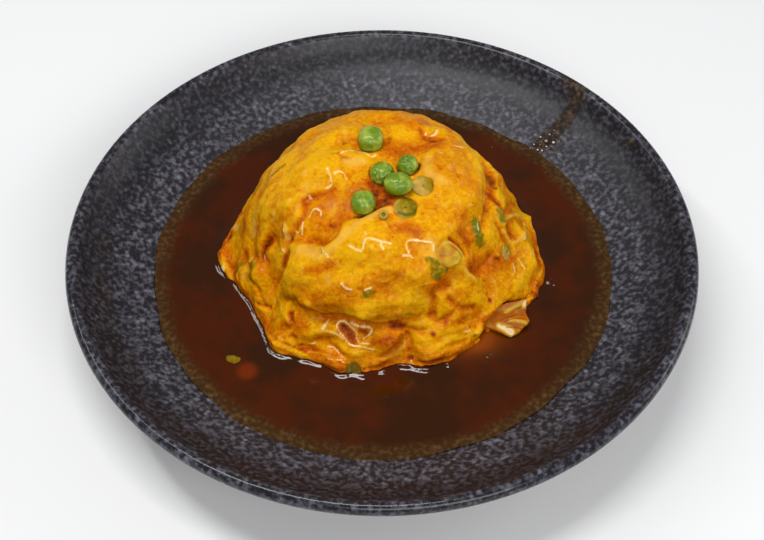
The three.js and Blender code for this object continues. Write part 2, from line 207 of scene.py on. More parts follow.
class Finish:
    def __init__(self, name, **constants):
        self.material = bpy.data.materials.new(name)
        self.material.use_nodes = True
        self.tree = self.material.node_tree
        self.shader = self.tree.nodes["Principled BSDF"]
        for socket, value in constants.items():
            self.shader.inputs[socket.replace("_", " ")].default_value = value
        self.at = self.node("ShaderNodeTexCoord", out="Object")

    def node(self, kind, settings=None, inputs=None, out=0):
        made = self.tree.nodes.new(kind)
        for name, value in (settings or {}).items():
            setattr(made, name, value)
        for name, value in (inputs or {}).items():
            if isinstance(value, Paint):
                self.tree.links.new(value.socket, made.inputs[name])
            else:
                made.inputs[name].default_value = value
        return Paint(self, made.outputs[out])

    def noise(self, scale, detail=2, roughness=0.5, at=None, distortion=0):
        inputs = {"Vector": at or self.at, "Scale": scale, "Detail": detail, "Roughness": roughness}
        return self.node("ShaderNodeTexNoise", inputs={**inputs, "Distortion": distortion})

    def painted(self, name):
        return self.node("ShaderNodeAttribute", {"attribute_name": name}, out="Fac")

    def mix(self, first, second, share):
        """A blend of two paints or screen colours."""
        ends = [colour(*end) if isinstance(end, tuple) else end for end in (first, second)]
        return self.node("ShaderNodeMix", {"data_type": "RGBA"}, {0: share, 6: ends[0], 7: ends[1]}, 2)

    def stretched(self, at, scale):
        return self.node("ShaderNodeMapping", inputs={"Vector": at, "Scale": scale})

    def bump(self, height, distance, strength=1):
        inputs = {"Height": height, "Distance": distance * MM, "Strength": strength}
        return self.node("ShaderNodeBump", inputs=inputs)

    def feed(self, **links):
        for socket, value in links.items():
            self.tree.links.new(value.socket, self.shader.inputs[socket.replace("_", " ")])


def colour(red, green, blue):
    """A screen colour, 0 to 255, as light."""
    def light(level):
        level /= 255
        return level / 12.92 if level < 0.04045 else ((level + 0.055) / 1.055) ** 2.4
    return light(red), light(green), light(blue), 1


FINISHES = {}

# %% [markdown]
# ## Where a stroke lies
# The omelette was one flat sheet before it was draped. Its folds are easiest to place on that sheet: u to the right
# and v to the back, in millimetres from the crown along the surface. The mound's profile is known, so each corner of
# the omelette is matched to the nearest place on the profile, and that gives its u and v.

# %% The sheet
MOUND = {"centre": (0, 9), "radii": (60.4, 59.3), "skirt": 21, "crown": 72, "sheet": 84}


def on_sheet(places):
    """The u and v of each place, in mm."""
    steps = np.linspace(0, 1, 421)
    wide = np.sin(steps * math.pi / 2) ** 0.9
    high = MOUND["skirt"] + (MOUND["crown"] - MOUND["skirt"]) * (1 - wide**3.8) ** 1.45
    flat = (places[:, :2] - MOUND["centre"]) / MOUND["radii"]
    spread = np.hypot(*flat.T)
    along = np.empty(len(places))
    for start in range(0, len(places), 8000):
        part = slice(start, start + 8000)
        away = (60 * (spread[part, None] - wide)) ** 2 + (places[part, 2, None] - high) ** 2
        along[part] = steps[away.argmin(1)]
    return flat / np.maximum(spread, 1e-6)[:, None] * (along * MOUND["sheet"])[:, None]


def smooth_line(points, spans=4):
    """The points of a stroke joined by a smooth curve."""
    p = np.array([points[0], *points, points[-1]], float)
    line = []
    for a, b, c, d in zip(p, p[1:], p[2:], p[3:]):
        for t in np.arange(spans) / spans:
            turn = (2 * a - 5 * b + 4 * c - d) * t * t + (3 * b - a - 3 * c + d) * t**3
            line.append((2 * b + (c - a) * t + turn) / 2)
    return np.array([*line, p[-1]])


def stroke(points, width, at, reach=3.2):
    """How much of a soft stroke, 0 to 1, falls on each place. Its points are u and v in turn, or pairs."""
    points = np.reshape(points, (-1, 2)).astype(float)
    line = smooth_line(points) if len(points) > 1 else points[[0, 0]]
    low, high = line.min(0) - reach * width, line.max(0) + reach * width
    near = np.flatnonzero(((at > low) & (at < high)).all(1))
    gap = np.full(len(near), 1e9)
    for a, b in zip(line, line[1:]):
        way = b - a
        share = np.clip((at[near] - a) @ way / max(way @ way, 1e-9), 0, 1)
        gap = np.minimum(gap, np.hypot(*(at[near] - a - share[:, None] * way).T))
    amount = np.zeros(len(at))
    amount[near] = np.exp(-((gap / width) ** 2))
    return amount


def strokes(rows, at):
    """The strongest of several strokes at each place."""
    total = np.zeros(len(at))
    for width, strength, *lines in rows:
        for points in lines:
            total = np.maximum(total, strength * stroke(points, width, at))
    return total

# %% [markdown]
# Soft egg folds over itself, sauce runs into the creases, and the glaze on top stands in thin ripples that catch the
# lamp. Each of these is a short list of strokes, and a stroke is u and v in turn, read off from where the crease,
# stain or ripple shows. A groove has a depth, a width, a stain and a stroke. A lip has a height, a width and a stroke.
# In the other lists a row is a width, a strength and one or more strokes.

# %% Creases, lips, ripples and stains
GROOVES = [
    # Left lobe, the pit beside it and the flap's upper edge
    (1.2, 1.3, 0.6, [-14.5, -11, -19.5, -12.5, -22.5, -13, -24, -13.5, -25, -15, -25.5, -17.5, -26.5, -19.5,
     -28.5, -20.5, -30, -22, -32.5, -22.5, -33.5, -24]),
    (0.6, 1.1, 0.45, [-33.5, -24, -35, -28, -37.5, -30.5, -42, -33, -45, -35]),
    (1.1, 1.7, 0.85, [-42, -18, -43, -18.5, -45.5, -19.5, -47.5, -21.5]),
    (1.3, 1.1, 0.35, [-33, -23.5, -28, -25.5, -18.5, -29, -14, -27, -13.5, -22.5, -9.5, -22, -5.5, -21,
     -1, -18, 2.5, -17]), (0.9, 0.8, 0.8, [22, -27, 27, -27.5, 30, -29]),
    # Right panel, shoulder and lobe
    (0.7, 0.9, 0.5, [15.5, -3.5, 16.5, -6]), (0.6, 0.9, 0.45, [21.5, -3.5, 23, -7]),
    (1.5, 1.3, 0.35, [30.5, 27, 33, 22, 37.5, 18.5, 39, 12.5, 38.5, 5.5, 37.5, -2.5, 38, -7, 36, -14,
     35.5, -18]), (0.9, 1.3, 0.6, [38.5, 11, 39.5, 5, 39, -1.5, 40.5, -4.5, 42.5, -5]),
    (0.9, 1.1, 0.5, [41, -13.5, 44, -14.5, 46, -15, 49, -16.5]),
    (1.1, 2.4, 0.35, [62, 22, 55, 13, 50, 3, 45, -7]),
    (1, 1.3, 0.6, [31.5, -33.5, 37, -31, 40.5, -28, 41.5, -24.5]),
    (1, 1.5, 0.6, [50, -59.5, 43.5, -49, 53.5, -44, 61, -37.5, 76, -35.5, 79.5, -27.5]),
    # Under the front flap and across the skirt
    (0.9, 1.3, 0.45, [-37, -40.5, -32.5, -41.5, -30.5, -42, -30, -44.5, -26.5, -46.5, -22.5, -49,
     -17, -49.5, -12, -51, -7.5, -54, -1.5, -54, 4.5, -53.5, 7.5, -54.5, 12.5, -55, 15.5, -55]),
    (1.3, 1.4, 0.45, [24, -39.5, 20.5, -41.5, 18, -43.5, 19, -46.5, 19, -49.5]),
    (1.1, 1.3, 0.5, [24.5, -43.5, 27, -44.5, 30, -45, 35.5, -43.5]),
    (0.6, 1.2, 0.45, [-54.5, -27, -52, -30.5, -51, -35.5, -50, -38.5]),
    (1.1, 1.1, 0.5, [-54.5, -37.5, -51, -39, -47.5, -41]), (0.6, 1.3, 0.8, [-35, -45, -33.5, -48.5]),
    (0.8, 1.2, 0.5, [9.5, -56.5, 11.5, -60, 12.5, -64.5, 13, -69.5]),
    (0.9, 1.1, 0.5, [-36.5, -63.5, -31, -63.5, -25, -63.5, -19.5, -65.5]),
    # Crown, back and small wrinkles
    (0.7, 0.8, 0.4, [-12.5, 1, -10.5, -1, -8.5, -1.5]),
    (0.8, 1.2, 0.6, [12, 14.5, 13, 12, 15, 9.5, 18, 10]),
    (0.9, 1.2, 0.5, [18.5, -50.5, 22, -51, 25, -49, 27, -47]),
    (0.6, 0.9, 0.2, [-23, -12.5, -25, -10.5, -29.5, -6.5]),
]
CURL = [43.5, -11.5, 46, -7, 52, 0.5, 59, 5, 59.5, 1, 55, -6.5, 53, -10.5, 50, -14, 45, -13.5]
LIPS = [
    (0.8, 1.5, [-14.5, -10, -19.5, -11.5, -22.5, -12, -24.5, -13, -26, -15, -27, -17, -28, -18.5,
     -31, -19.5, -33, -21]),
    (0.9, 1.6, [-32.5, -25, -27, -27, -17.5, -30.5, -12.5, -29, -11, -25, -9.5, -24, -5.5, -24, -1, -20.5,
     2, -19.5]), (1, 1.3, [8.5, -57, 10, -61, 8, -64, 5.5, -66.5, 0.5, -68.5]),
    (0.8, 1.4, [15, 3.5, 13.5, 1.5, 12, -3, 12.5, -6]),
    (0.6, 1.2, [36.5, 16, 37.5, 10, 36.5, -3.5, 36.5, -8.5]),
    (0.9, 1.4, [-28, -43, -24, -44.5, -21.5, -47, -16.5, -48, -11, -49, -6.5, -50, -1.5, -53, 4, -52]),
    (0.9, 1.1, [28, -33.5, 31, -34.5, 34.5, -35.5]),
    (0.9, 1, CURL),
    (0.5, 0.8, [47, -10, 49.5, -11.5, 52, -12.5]), (0.5, 0.8, [46, -6.5, 55, 4, 68, 14]),
    (0.8, 0.9, [-39, -55.5, -37.5, -53.5, -35, -53, -33.5, -55, -35, -57.5, -37.5, -60, -39.5, -59,
     -39, -55.5]),
]
BULGES = [
    (6, 2.6, [66, 12, 76, 5, 80, -6, 73, -17]), (3.4, 0.9, [50, 8, 56, -4, 60, -14]),
    (6, 2.2, [-84, 5, -84, -9, -78, -17]), (5, 2.8, [-66, -22, -64, -32, -56, -42]),
    (5, 2, [4, -84, 12, -83, 24, -80.5, 34, -77]), (4, 1.2, [-40, -74, -28, -79, -20, -81.5]),
    (6, 2, [84, 4, 84, -6, 84, -12]), (7, 3.9, [84, -10, 81, -22, 76, -34, 67, -41]),
]
# The ripples stand up from the egg and are also painted cream in the egg finish, as a painted highlight.
GLAZE = [
    (0.4, 1, [-15.5, -5.5, -15, -8, -15, -9.5, -17.5, -10.5], [-13.5, -7, -12.5, -6, -11, -6, -10, -8],
     [-23, -12.5, -23, -13.5], [-24, -19.5, -23, -18.5, -21.5, -17.5, -20, -18.5, -20, -20], [-26.5, -20.5,
     -27, -23.5, -27.5, -24], [-30, -22, -28.5, -23], [-33.5, -19.5, -34, -22], [-9.5, -31, -6, -32.5,
     -4.5, -29.5, -1.5, -30, 2.5, -31], [-4.5, -27.5, -4.5, -28.5], [-0.5, -31, 0.5, -32.5], [-18, -30.5,
     -16.5, -32, -16, -33], [7.5, -31.5, 8, -30, 10.5, -29.5, 13.5, -29.5, 16, -29.5, 16.5, -31.5],
     [7.5, -31.5, 8.5, -33.5, 9.5, -34.5], [6.5, -34, 8.5, -34], [-11.5, 0.5, -8.5, 2, -5, 2, -2.5, 0.5,
     -1.5, 1], [-12.5, -40, -11, -41.5, -9.5, -42], [-5.5, -42.5, -3.5, -42], [-22.5, -53, -21.5, -52,
     -20.5, -51], [-23, -53.5, -18, -55.5, -15.5, -58], [-3, -62.5, -9, -61, -12.5, -60, -14.5, -58,
     -16.5, -55, -17.5, -53, -16, -52, -14, -52.5, -12, -54.5, -10, -56.5, -10, -58.5, -8, -60, -4.5, -60],
     [-12, -53, -9, -54.5, -4.5, -55, -4.5, -56.5, -7.5, -58.5], [-23, -61, -20, -62, -17.5, -65.5,
     -14, -71.5, -16.5, -74.5, -17.5, -68.5, -25, -67.5], [-29.5, -59, -27.5, -59], [51, -21.5,
     52.5, -24.5], [52.5, -19, 56.5, -21], [58, -3, 54.5, -9.5], [60, -10, 59, -12.5], [22.5, 7.5,
     25.5, 7.5], [13.5, 13.5, 14.5, 12, 16.5, 12, 17.5, 14.5], [12.5, -66, 13.5, -72, 17, -77.5], [36.5, -4,
     36.5, -8.5], [-47, -21, -47, -22.5], [-83, -13.5, -82.5, -16.5], [32.5, -18, 33.5, -20], [-37, -24,
     -35.5, -26], [9.5, -77, 10.5, -77], [32.5, -53.5, 36, -52.5]), (0.9, 1, [-22.7, -53, -22, -52.4]),
]
STAINS = [
    (4.5, 0.42, [-15, -13.5, -19, -17, -21.5, -20.5, -20, -24, -16.5, -24, -12.5, -20.5, -9, -15.5,
     -6.5, -12]), (1.3, 0.75, [-16.5, -24, -15.5, -24.5]),
    (3.2, 0.8, [-2.5, -13, 0, -10.5, 2, -14.5, -0.5, -17]), (2.4, 0.74, [-3.5, -9.5, -1.5, -11]),
    (3.6, 0.55, [2.5, 2.5, 5.5, 4, 9, 5, 13, 6, 17, 7]), (2.2, 0.72, [13.5, 10.5, 15.5, 9.5, 18, 9.5]),
    (1.2, 0.7, [12, 14.5, 12.5, 13.5]), (3, 0.5, [1, 5.5, 1.5, 3]), (1.1, 0.6, [-10, -1.5, -10.5, -2]),
    (1.9, 0.95, [-42.5, -18, -44.5, -19]), (2, 0.65, [-56, -13.5, -56, -16]),
    (4, 0.5, [-71, 22, -78.5, 13, -84, 4.5, -84, -6], [35, -29.5, 40.5, -28.5, 45, -24.5, 49, -20.5]),
    (5, 0.35, [-76, -10.5, -70.5, -19.5, -69.5, -28.5]), (3, 0.4, [-63.5, -25.5, -64.5, -30.5, -60, -35]),
    (2.2, 0.6, [26, -23.5, 28.5, -24.5, 31, -25.5]), (1, 0.8, [43.5, -24, 44.5, -23.5]),
    (0.9, 0.6, [40, -33.5]), (1.5, 0.45, [-23, -34.5, -18.5, -35.5, -15, -35]),
    (2.4, 0.35, [-16.5, -42, -13, -42, -9.5, -44, -13, -45]),
    (1.8, 0.4, [-30, -44.5, -23, -49.5, -12, -51, -1.5, -54.5, 7.5, -54.5]),
    (1.6, 0.8, [5.5, -53.5, 7.5, -54]), (1, 0.9, [-34, -45.5, -34, -47.5]), (2, 0.4, [-44, -54, -41, -51]),
    (1.4, 0.5, [-30, -50, -28.5, -51.5]),
    (1.6, 0.5, [-35.5, -61, -31, -63, -24, -63.5], [29.5, -45, 25.5, -44.5]),
    (2.2, 0.85, [-15, -54, -13, -56, -11.5, -59]), (1.6, 0.75, [-8, -55.5, -6.5, -56.5]),
    (2.2, 0.62, [-3, -59.5, 0, -58.5, 3, -57.5, 4.5, -59], [28, -24, 31, -25.5]),
    (1.8, 0.5, [11, -59, 12, -64.5, 12, -71, 8, -76.5], [48, -8, 49.5, -10.5, 51, -12]),
    (2.5, 0.45, [-35, -76.5, -25.5, -80, -15.5, -82.5, -6, -84, 4, -78.5]),
    (3, 0.7, [40, -70, 43, -65.5, 50, -65, 52.5, -59, 53.5, -54.5]),
    (2, 0.6, [43, -49.5, 53, -44, 61, -37.5, 76, -35.5, 79.5, -26.5], [46, -9, 48, -11.5, 50, -11]),
    (8, 0.25, [16, -4, 28, -8]), (9, 0.25, [-12, 22, 10, 26]), (2.6, 0.5, [5, -26.5, 8, -26, 10.5, -27]),
    (2, 0.45, [16.5, -42, 18.5, -45, 19, -48.5], [49.5, -9, 50.5, -10.5]),
    (1.5, 0.55, [25, -49, 24.5, -51]), (1, 0.6, [44.5, -15.5, 46, -16]),
    (1.3, 0.8, [38.5, -2.5, 40, -4.5, 41.5, -5]), (2.2, 0.35, [21.5, 22, 21.5, 13.5, 23, 9.5]),
    (4, 0.42, [83, -14, 80, -26, 75, -35, 64, -40]), (5, 0.34, [16, -64, 26, -66, 38, -60]),
    (3, 0.36, [-44, 12, -50, 2, -56, -6]), (2.4, 0.4, [-30, 16, -38, 8]),
    (1.6, 0.6, [-8, -18, -5.5, -20, -3, -18.5], [23, -38.5, 19, -40, 17.5, -42, 18, -44]),
    (0.9, 0.4, [-12.5, -34.5]), (1, 0.5, [-34.5, -16]), (1.5, 0.3, [-29, -7]), (0.9, 0.55, [22.5, -7]),
    (1.3, 0.5, [-26.5, -23.5, -28, -23.5]), (2.4, 0.62, [32, -32, 35.5, -32, 39.5, -29.5]),
    (1.2, 0.9, [42.5, -39], [20, -55.5]), (1.5, 0.75, [19.5, -49]),
    (2.6, 0.55, [42.5, -47.5, 46.5, -44, 57.5, -39, 61, -34.5]),
    (5, 0.62, [34.5, -66, 42, -72, 50, -68, 54, -58]), (1.7, 0.85, [3.5, -53.7, 8.5, -54.2]),
    (3, 0.48, [-1, -60, 3, -58.5, 7, -58]), (2.2, 0.5, [-28, -43, -24, -48, -16, -51, -5, -53]),
    (5, 0.32, [-46, -26, -42.5, -32, -46.5, -35]), (5, 0.28, [-72.5, -26.5, -60.5, -30.5, -52, -34.5]),
    (3.4, 0.48, [-41.5, -51, -35, -49, -31.5, -49, -35, -54]), (1.2, 0.75, [-35.5, -27.5, -37.5, -30]),
    (3, 0.42, [4, 19, 8.5, 15.5, 14.5, 22]), (4, 0.34, [26, -19, 36, -30, 44, -34]),
    (7, 0.3, [-30, -66, -10, -70, 6, -66]),
]
PALES = [
    (1.9, 0.7, [-26, -29, -17, -32, -11, -28, -7, -25, -1, -21.5, 2, -20]),
    (1.7, 0.8, [-10, -2.5, -7, -2, -5, -1]), (2.4, 0.7, [13.5, 0.5, 13, -5, 15.5, -9, 18.5, -10]),
    (2.2, 0.55, [19.5, -4.5, 24, -4.5]), (1.5, 0.5, [17, 2, 21, 2.5]), (1.4, 0.7, [-11, 10]),
    (1.8, 0.5, [-23, -3.5, -23, -5]), (1.3, 0.7, [-36, -13, -36.5, -14]), (2, 1, [-74, 13, -60, 3]),
    (1.3, 0.5, [-56.5, -21, -59.5, -23], [-26.5, -14.5, -28, -17]),
    (0.8, 0.8, CURL),
    (2.4, 0.75, [15, -29, 17, -32]),
    (1.4, 0.6, [-24.5, -9.5, -22.5, -9, -24.5, -12.5], [9, -58.5, 9.5, -62, 5.5, -65.5, 1, -68]),
    (1.3, 0.6, [-17, -38, -16.5, -39.5]), (2.6, 0.6, [-32, 10, -42, -2, -50, -10]),
    (2, 0.5, [-40, 14, -54, 6]), (0.8, 0.6, [-24, -37.5]), (0.9, 0.6, [-37, -56]),
    (1.6, 0.5, [17.5, -45, 16.5, -47], [-56.5, -22.5, -61.5, -24]),
    (1.2, 0.5, [12, -43, 13.5, -45], [24.5, -40.5, 25.5, -41.5]), (1.6, 0.6, [34, -53]),
    (0.7, 0.9, [45, -31.5]), (0.8, 0.9, [29.5, -21]), (0.9, 0.8, [29, -33.5, 33, -35]),
    (2, 0.35, [58, 1.5, 72, 6, 64, -9]), (1.3, 1, [-33, -19, -33.5, -21, -33.5, -22.5]),
    (1.5, 0.4, [16, -65, 19, -61.5]), (2.6, 0.55, [13, -31.5, 15.5, -33]),
]
LEAVES = [
    (2.6, 1.1, [32, -18.8, 33.4, -20.8]), (2, 1, [33.2, -20.6, 34.8, -22, 35.8, -23]),
    (2.1, 0.95, [42, -8, 42.5, -10]), (1, 0.6, [39, 9.5, 39.5, 4.5, 40, 1]),
    (1.2, 0.8, [14.5, -34.3, 18, -34.5, 21, -34], [16, -36.2, 19, -36, 22, -35.4]),
    (1.5, 0.85, [17, -37.8, 19.5, -38]), (2.4, 0.72, [-53.5, -20.5, -52, -23.5, -54.5, -25.5]),
    (2.4, 0.7, [-59.5, -16.5, -62, -18.5, -66, -19]), (1, 0.7, [-31.5, 3, -34.5, 2.5, -38.5, 3]),
    (0.8, 0.6, [-11, 5, -10, 5.5], [-71.5, 20]), (0.7, 0.6, [-14, 0], [-24, -25.5]),
    (1.6, 0.74, [-5, -43.6, -3, -43.2]), (0.9, 0.6, [9.5, -50, 13, -50.5]),
    (0.8, 0.5, [10, -44, 11.5, -44.5]), (1.3, 0.7, [38.5, -54.5]), (0.7, 0.5, [18.5, -11.5], [2, 8, 2, 6]),
    (1, 0.5, [4, -25.5]), (0.6, 0.5, [-34, -46.5, -33.5, -47.5]), (0.9, 0.7, [45, -19.5]),
    (1.8, 0.25, [7.5, -41, 7, -46]), (1.5, 1, [0.5, -23]),
]

# %% [markdown]
# ## Egg finish
# Cooked egg is yellow where it is thin and clean, orange where sauce has soaked in, and brown in the creases where
# sauce stands. Painted amounts say how much sauce and painted shade, pale egg and leaf there is at each place, and
# noise breaks them up. The cream of the ripples, pale flecks on the clean egg and pale green spots on the leaves are
# painted highlights. A clear coat is the wet glaze, so that the egg below stays soft while the ripples shine.

# %% Egg finish
def egg_finish():
    egg = Finish("egg", Roughness=0.5, Coat_Roughness=0.08, Coat_IOR=1.4, Specular_IOR_Level=0.05)
    sheet = egg.node("ShaderNodeAttribute", {"attribute_name": "sheet"}, out="Vector")
    streaks = egg.noise(1, 4, 0.6, egg.stretched(sheet, (0.22, 0.4, 1)), 0.8)
    mottle = egg.noise(230, 5, 0.68, distortion=0.8)
    broad = egg.noise(75, 3, 0.6)
    dots = egg.noise(620, 2).between(0.62, 0.78)
    fine = egg.noise(800, 3)
    # The painted sauce amount also holds painted shade, in broad hollows, on steep faces and round the peas.
    soak = egg.painted("sauce") + (mottle - 0.5) * 0.54 + (broad - 0.47) * 0.34
    soak = soak + (streaks - 0.5) * 0.3 + (fine - 0.5) * 0.6
    ramp = egg.node("ShaderNodeValToRGB", {}, {0: soak + dots * 0.26})
    stops = ramp.socket.node.color_ramp
    shades = [(0.0, (232, 170, 6)), (0.18, (222, 147, 0)), (0.4, (206, 114, 0)), (0.62, (182, 84, 0)),
              (0.82, (136, 56, 0)), (1.0, (88, 33, 0))]
    while len(stops.elements) < len(shades):
        stops.elements.new(0.5)
    for stop, (place, shade) in zip(stops.elements, shades):
        stop.position = place
        stop.color = colour(*shade)
    pale = (egg.painted("pale") + (mottle - 0.5) * 0.7 + (streaks - 0.5) * 0.3).between(0.25, 0.95)
    body = egg.mix(ramp, (230, 174, 62), pale)
    leaf_grain = egg.noise(520, 3)
    core = (egg.painted("leaf") + (leaf_grain - 0.5) * 0.8).between(0.55, 1)
    leaf = egg.mix((64, 58, 0), (100, 112, 12), core)
    # Painted highlight: pale green spots on the leaf.
    leaf = egg.mix(leaf, (142, 186, 96), egg.noise(760, 2).between(0.55, 0.66) * core * 0.85)
    leafy = (egg.painted("leaf") + (leaf_grain - 0.5) * 1.1).between(0.2, 0.95)
    body = egg.mix(body, leaf, leafy * 0.9)
    # Painted highlight: small pale flecks of sparkle where little sauce stands.
    clean = (1 - egg.painted("sauce") * 1.4).most(0)
    body = egg.mix(body, (238, 190, 88), egg.noise(430, 4, 0.6).between(0.58, 0.76) * clean * 0.75)
    # Painted highlight: the glaze ripples are mixed towards cream; they also get the clear coat.
    ripple_highlight = (egg.painted("glaze") * (egg.noise(420, 2) * 1.3 + 0.25)).between(0.3, 0.85)
    body = egg.mix(body, (252, 222, 158), ripple_highlight * 0.8)
    wrinkle = egg.noise(1, 5, 0.6, egg.stretched(sheet, (0.5, 0.9, 1)), 0.5)
    skin = egg.noise(900, 3, 0.5)
    wet = ripple_highlight + 0.07
    egg.feed(Base_Color=body, Coat_Weight=wet.least(1), Normal=egg.bump(wrinkle * 0.8 + skin * 0.12, 0.45))
    return egg


FINISHES["egg"] = egg_finish()
print("egg", len(FINISHES["egg"].tree.nodes), "nodes")

# %% [markdown]
# ## Omelette
# The solid has the main folds, but its faces are wide. Remeshing a copy at 0.7 mm gives even corners to sculpt with,
# and smoothing takes the old faces away. The rounds of averaging below are counted for corners half a millimetre
# apart, and wider ones need fewer.

# %% Omelette, an even skin
GRAIN = 0.7
ROUNDS_GRAIN = 0.5
omelette = copied("omelette", "soft_omelette")
modify(omelette, "REMESH", mode="VOXEL", voxel_size=GRAIN * MM)
modify(omelette, "SMOOTH", factor=0.6, iterations=6)
print("omelette corners", len(omelette.data.vertices))

# %% [markdown]
# The sculpting goes from large to small. First the lobes are filled out a little, and where the solid is cut too
# sharply the corners are averaged with their neighbours, over and over, until the step melts away. Then each corner
# moves along its own normal, by the sum of the wrinkles and strokes that reach it.

# %% Omelette, folds and wrinkles
def flow(at, centre, size, way, length, height, seed):
    """Fine pleats that run one way, inside a soft round patch of the sheet."""
    turn = math.radians(way)
    across = -at[:, 0] * math.sin(turn) + at[:, 1] * math.cos(turn)
    along = at[:, 0] * math.cos(turn) + at[:, 1] * math.sin(turn)
    inside = np.exp(-(np.hypot(*((at - centre) / size).T) ** 2))
    wander = 1.1 * np.sin(along / 7 + seed) + 0.8 * np.sin(along / 3.1 + 2 * seed)
    return height * inside * np.sin((across + wander) * 2 * math.pi / length)


def creased(places, size, seed):
    """Noise with sharp valleys, as skin has when it wrinkles."""
    return 1 - 2 * (1 - np.abs(rough(places, size, seed)).clip(0, 1)) ** 3


def averaged(piece, rounds):
    """Corners averaged with their neighbours, over and over."""
    ends = np.empty(len(piece.data.edges) * 2, int)
    piece.data.edges.foreach_get("vertices", ends)
    first, second = ends.reshape(-1, 2).T
    level = corners(piece)
    count = np.bincount(np.concatenate((first, second)), minlength=len(level))[:, None]
    for _ in range(round(rounds * (ROUNDS_GRAIN / GRAIN) ** 2)):
        total = np.stack([np.bincount(first, level[second, k], len(level)) +
                          np.bincount(second, level[first, k], len(level)) for k in range(3)], 1)
        level = 0.4 * level + 0.6 * total / count
    return level


PLEATS = [
    ((-38, -8), (18, 14), 200, 5.2, 0.2, 1), ((-26, -2), (12, 9), 205, 4.1, 0.22, 2),
    ((44, 8), (8, 22), 88, 4.6, 0.22, 3), ((60, -8), (12, 16), 105, 5, 0.14, 4),
    ((-5, -38), (26, 10), 4, 7, 0.28, 5), ((-60, -22), (12, 12), 250, 4.5, 0.16, 6),
    ((-30, -60), (22, 10), 350, 5, 0.35, 7), ((30, -58), (20, 10), 20, 5, 0.35, 8),
    ((20, 0), (12, 12), 60, 5, 0.22, 9), ((-20, 45), (30, 20), 150, 7, 0.45, 10),
    ((30, 45), (26, 22), 40, 7, 0.45, 11),
]
MELTED = [
    (4.5, 1, [-80, 17, -82, 9, -83, 1]), (6, 1.25, [80, 10, 83, 0, 84, -12, 81, -24]),
    (3, 0.75, [-37, -40.5, -30.5, -42, -26.5, -46.5, -17, -49.5, -7.5, -54, 4.5, -53.5, 15.5, -55]),
    (4, 0.75, [-37, -29, -42, -33, -48, -38]), (6, 1, [-66, -24, -60, -36, -52, -44]),
    (4, 0.5, [-40, -62, -30, -68, -15, -72]), (6, 0.9, [46, -2, 48, -10, 54, 0, 58, -6]),
]
HIDDEN = 15
MELT_ROUNDS = 170
BUMPS = [(0.24, 7, 1), (0.16, 3.6, 2), (0.1, 1.9, 3)]
HEIGHTS = {"wrinkles": 0.05, "pleats": 0.65, "ripples": 0.2, "leaves": 0.14}

places = corners(omelette)
at = on_sheet(places)
shown = soft_step(places[:, 2], HIDDEN, HIDDEN + 5)
move(omelette, places + outward(omelette) * (strokes(BULGES, at) * shown)[:, None])
places = corners(omelette)
melt = np.minimum(strokes(MELTED, at), 1)
move(omelette, places + (averaged(omelette, MELT_ROUNDS) - places) * melt[:, None])
places = corners(omelette)
lift = sum(height * rough(places, size, seed) for height, size, seed in BUMPS)
lift += HEIGHTS["wrinkles"] * creased(places, 5, 4)
for patch in PLEATS:
    lift += HEIGHTS["pleats"] * flow(at, *patch)
for depth, width, stain, points in GROOVES:
    lift -= depth * stroke(points, width, at)
for height, width, points in LIPS:
    lift += height * stroke(points, width, at)
ripples, leaves = strokes(GLAZE, at), strokes(LEAVES, at)
lift += HEIGHTS["ripples"] * ripples + HEIGHTS["leaves"] * leaves
move(omelette, places + outward(omelette) * (lift * shown)[:, None])
print("relief", round(lift.min(), 2), "to", round(lift.max(), 2), "mm")

# %% [markdown]
# Sauce gathers in hollows and leaves the ridges clean. How hollow a place is comes from comparing the surface with an
# averaged copy of itself, which fills hollows and lowers ridges. Broad hollows and steep or downward faces are
# darkened too, partly sauce and partly painted shade. Creases get a dark rim of sauce, and each pea a painted dark rim
# of shadow.

# %% Omelette, where the sauce stands and painted shade falls
def hollows(piece, rounds):
    """How far each corner lies below the smoothed surface, in mm."""
    return ((averaged(piece, rounds) - corners(piece)) * outward(piece)).sum(1)


LEVEL = 19.5
FINE_ROUNDS, BROAD_ROUNDS = 10, 90
SAUCE_AND_SHADE = {"everywhere": 0.13, "fine": 0.85, "broad": 0.16, "foot": 0.3, "patches": 0.16, "steep": 0.12}
PEAS = 5
PEA_SHADOW = {"sauce_and_shade": 0.88, "width": 0.9}

places = corners(omelette)
fine, broad = hollows(omelette, FINE_ROUNDS), hollows(omelette, BROAD_ROUNDS)
sauce_and_shade = SAUCE_AND_SHADE["everywhere"] + SAUCE_AND_SHADE["fine"] * np.clip(fine, -0.12, 0.35)
# Broad hollows darker: partly sauce, partly painted shade.
sauce_and_shade += SAUCE_AND_SHADE["broad"] * np.clip(broad, -1.1, 1.4)
sauce_and_shade += SAUCE_AND_SHADE["foot"] * soft_step(-places[:, 2], -LEVEL - 7.5, -LEVEL)
sauce_and_shade += SAUCE_AND_SHADE["patches"] * rough(places, 11, 5)
# Painted shade: steep faces and faces turned downwards go darker orange.
sauce_and_shade += SAUCE_AND_SHADE["steep"] * soft_step(-outward(omelette)[:, 2], -0.75, 0)
sauce_and_shade = np.maximum(sauce_and_shade, strokes(STAINS, at))
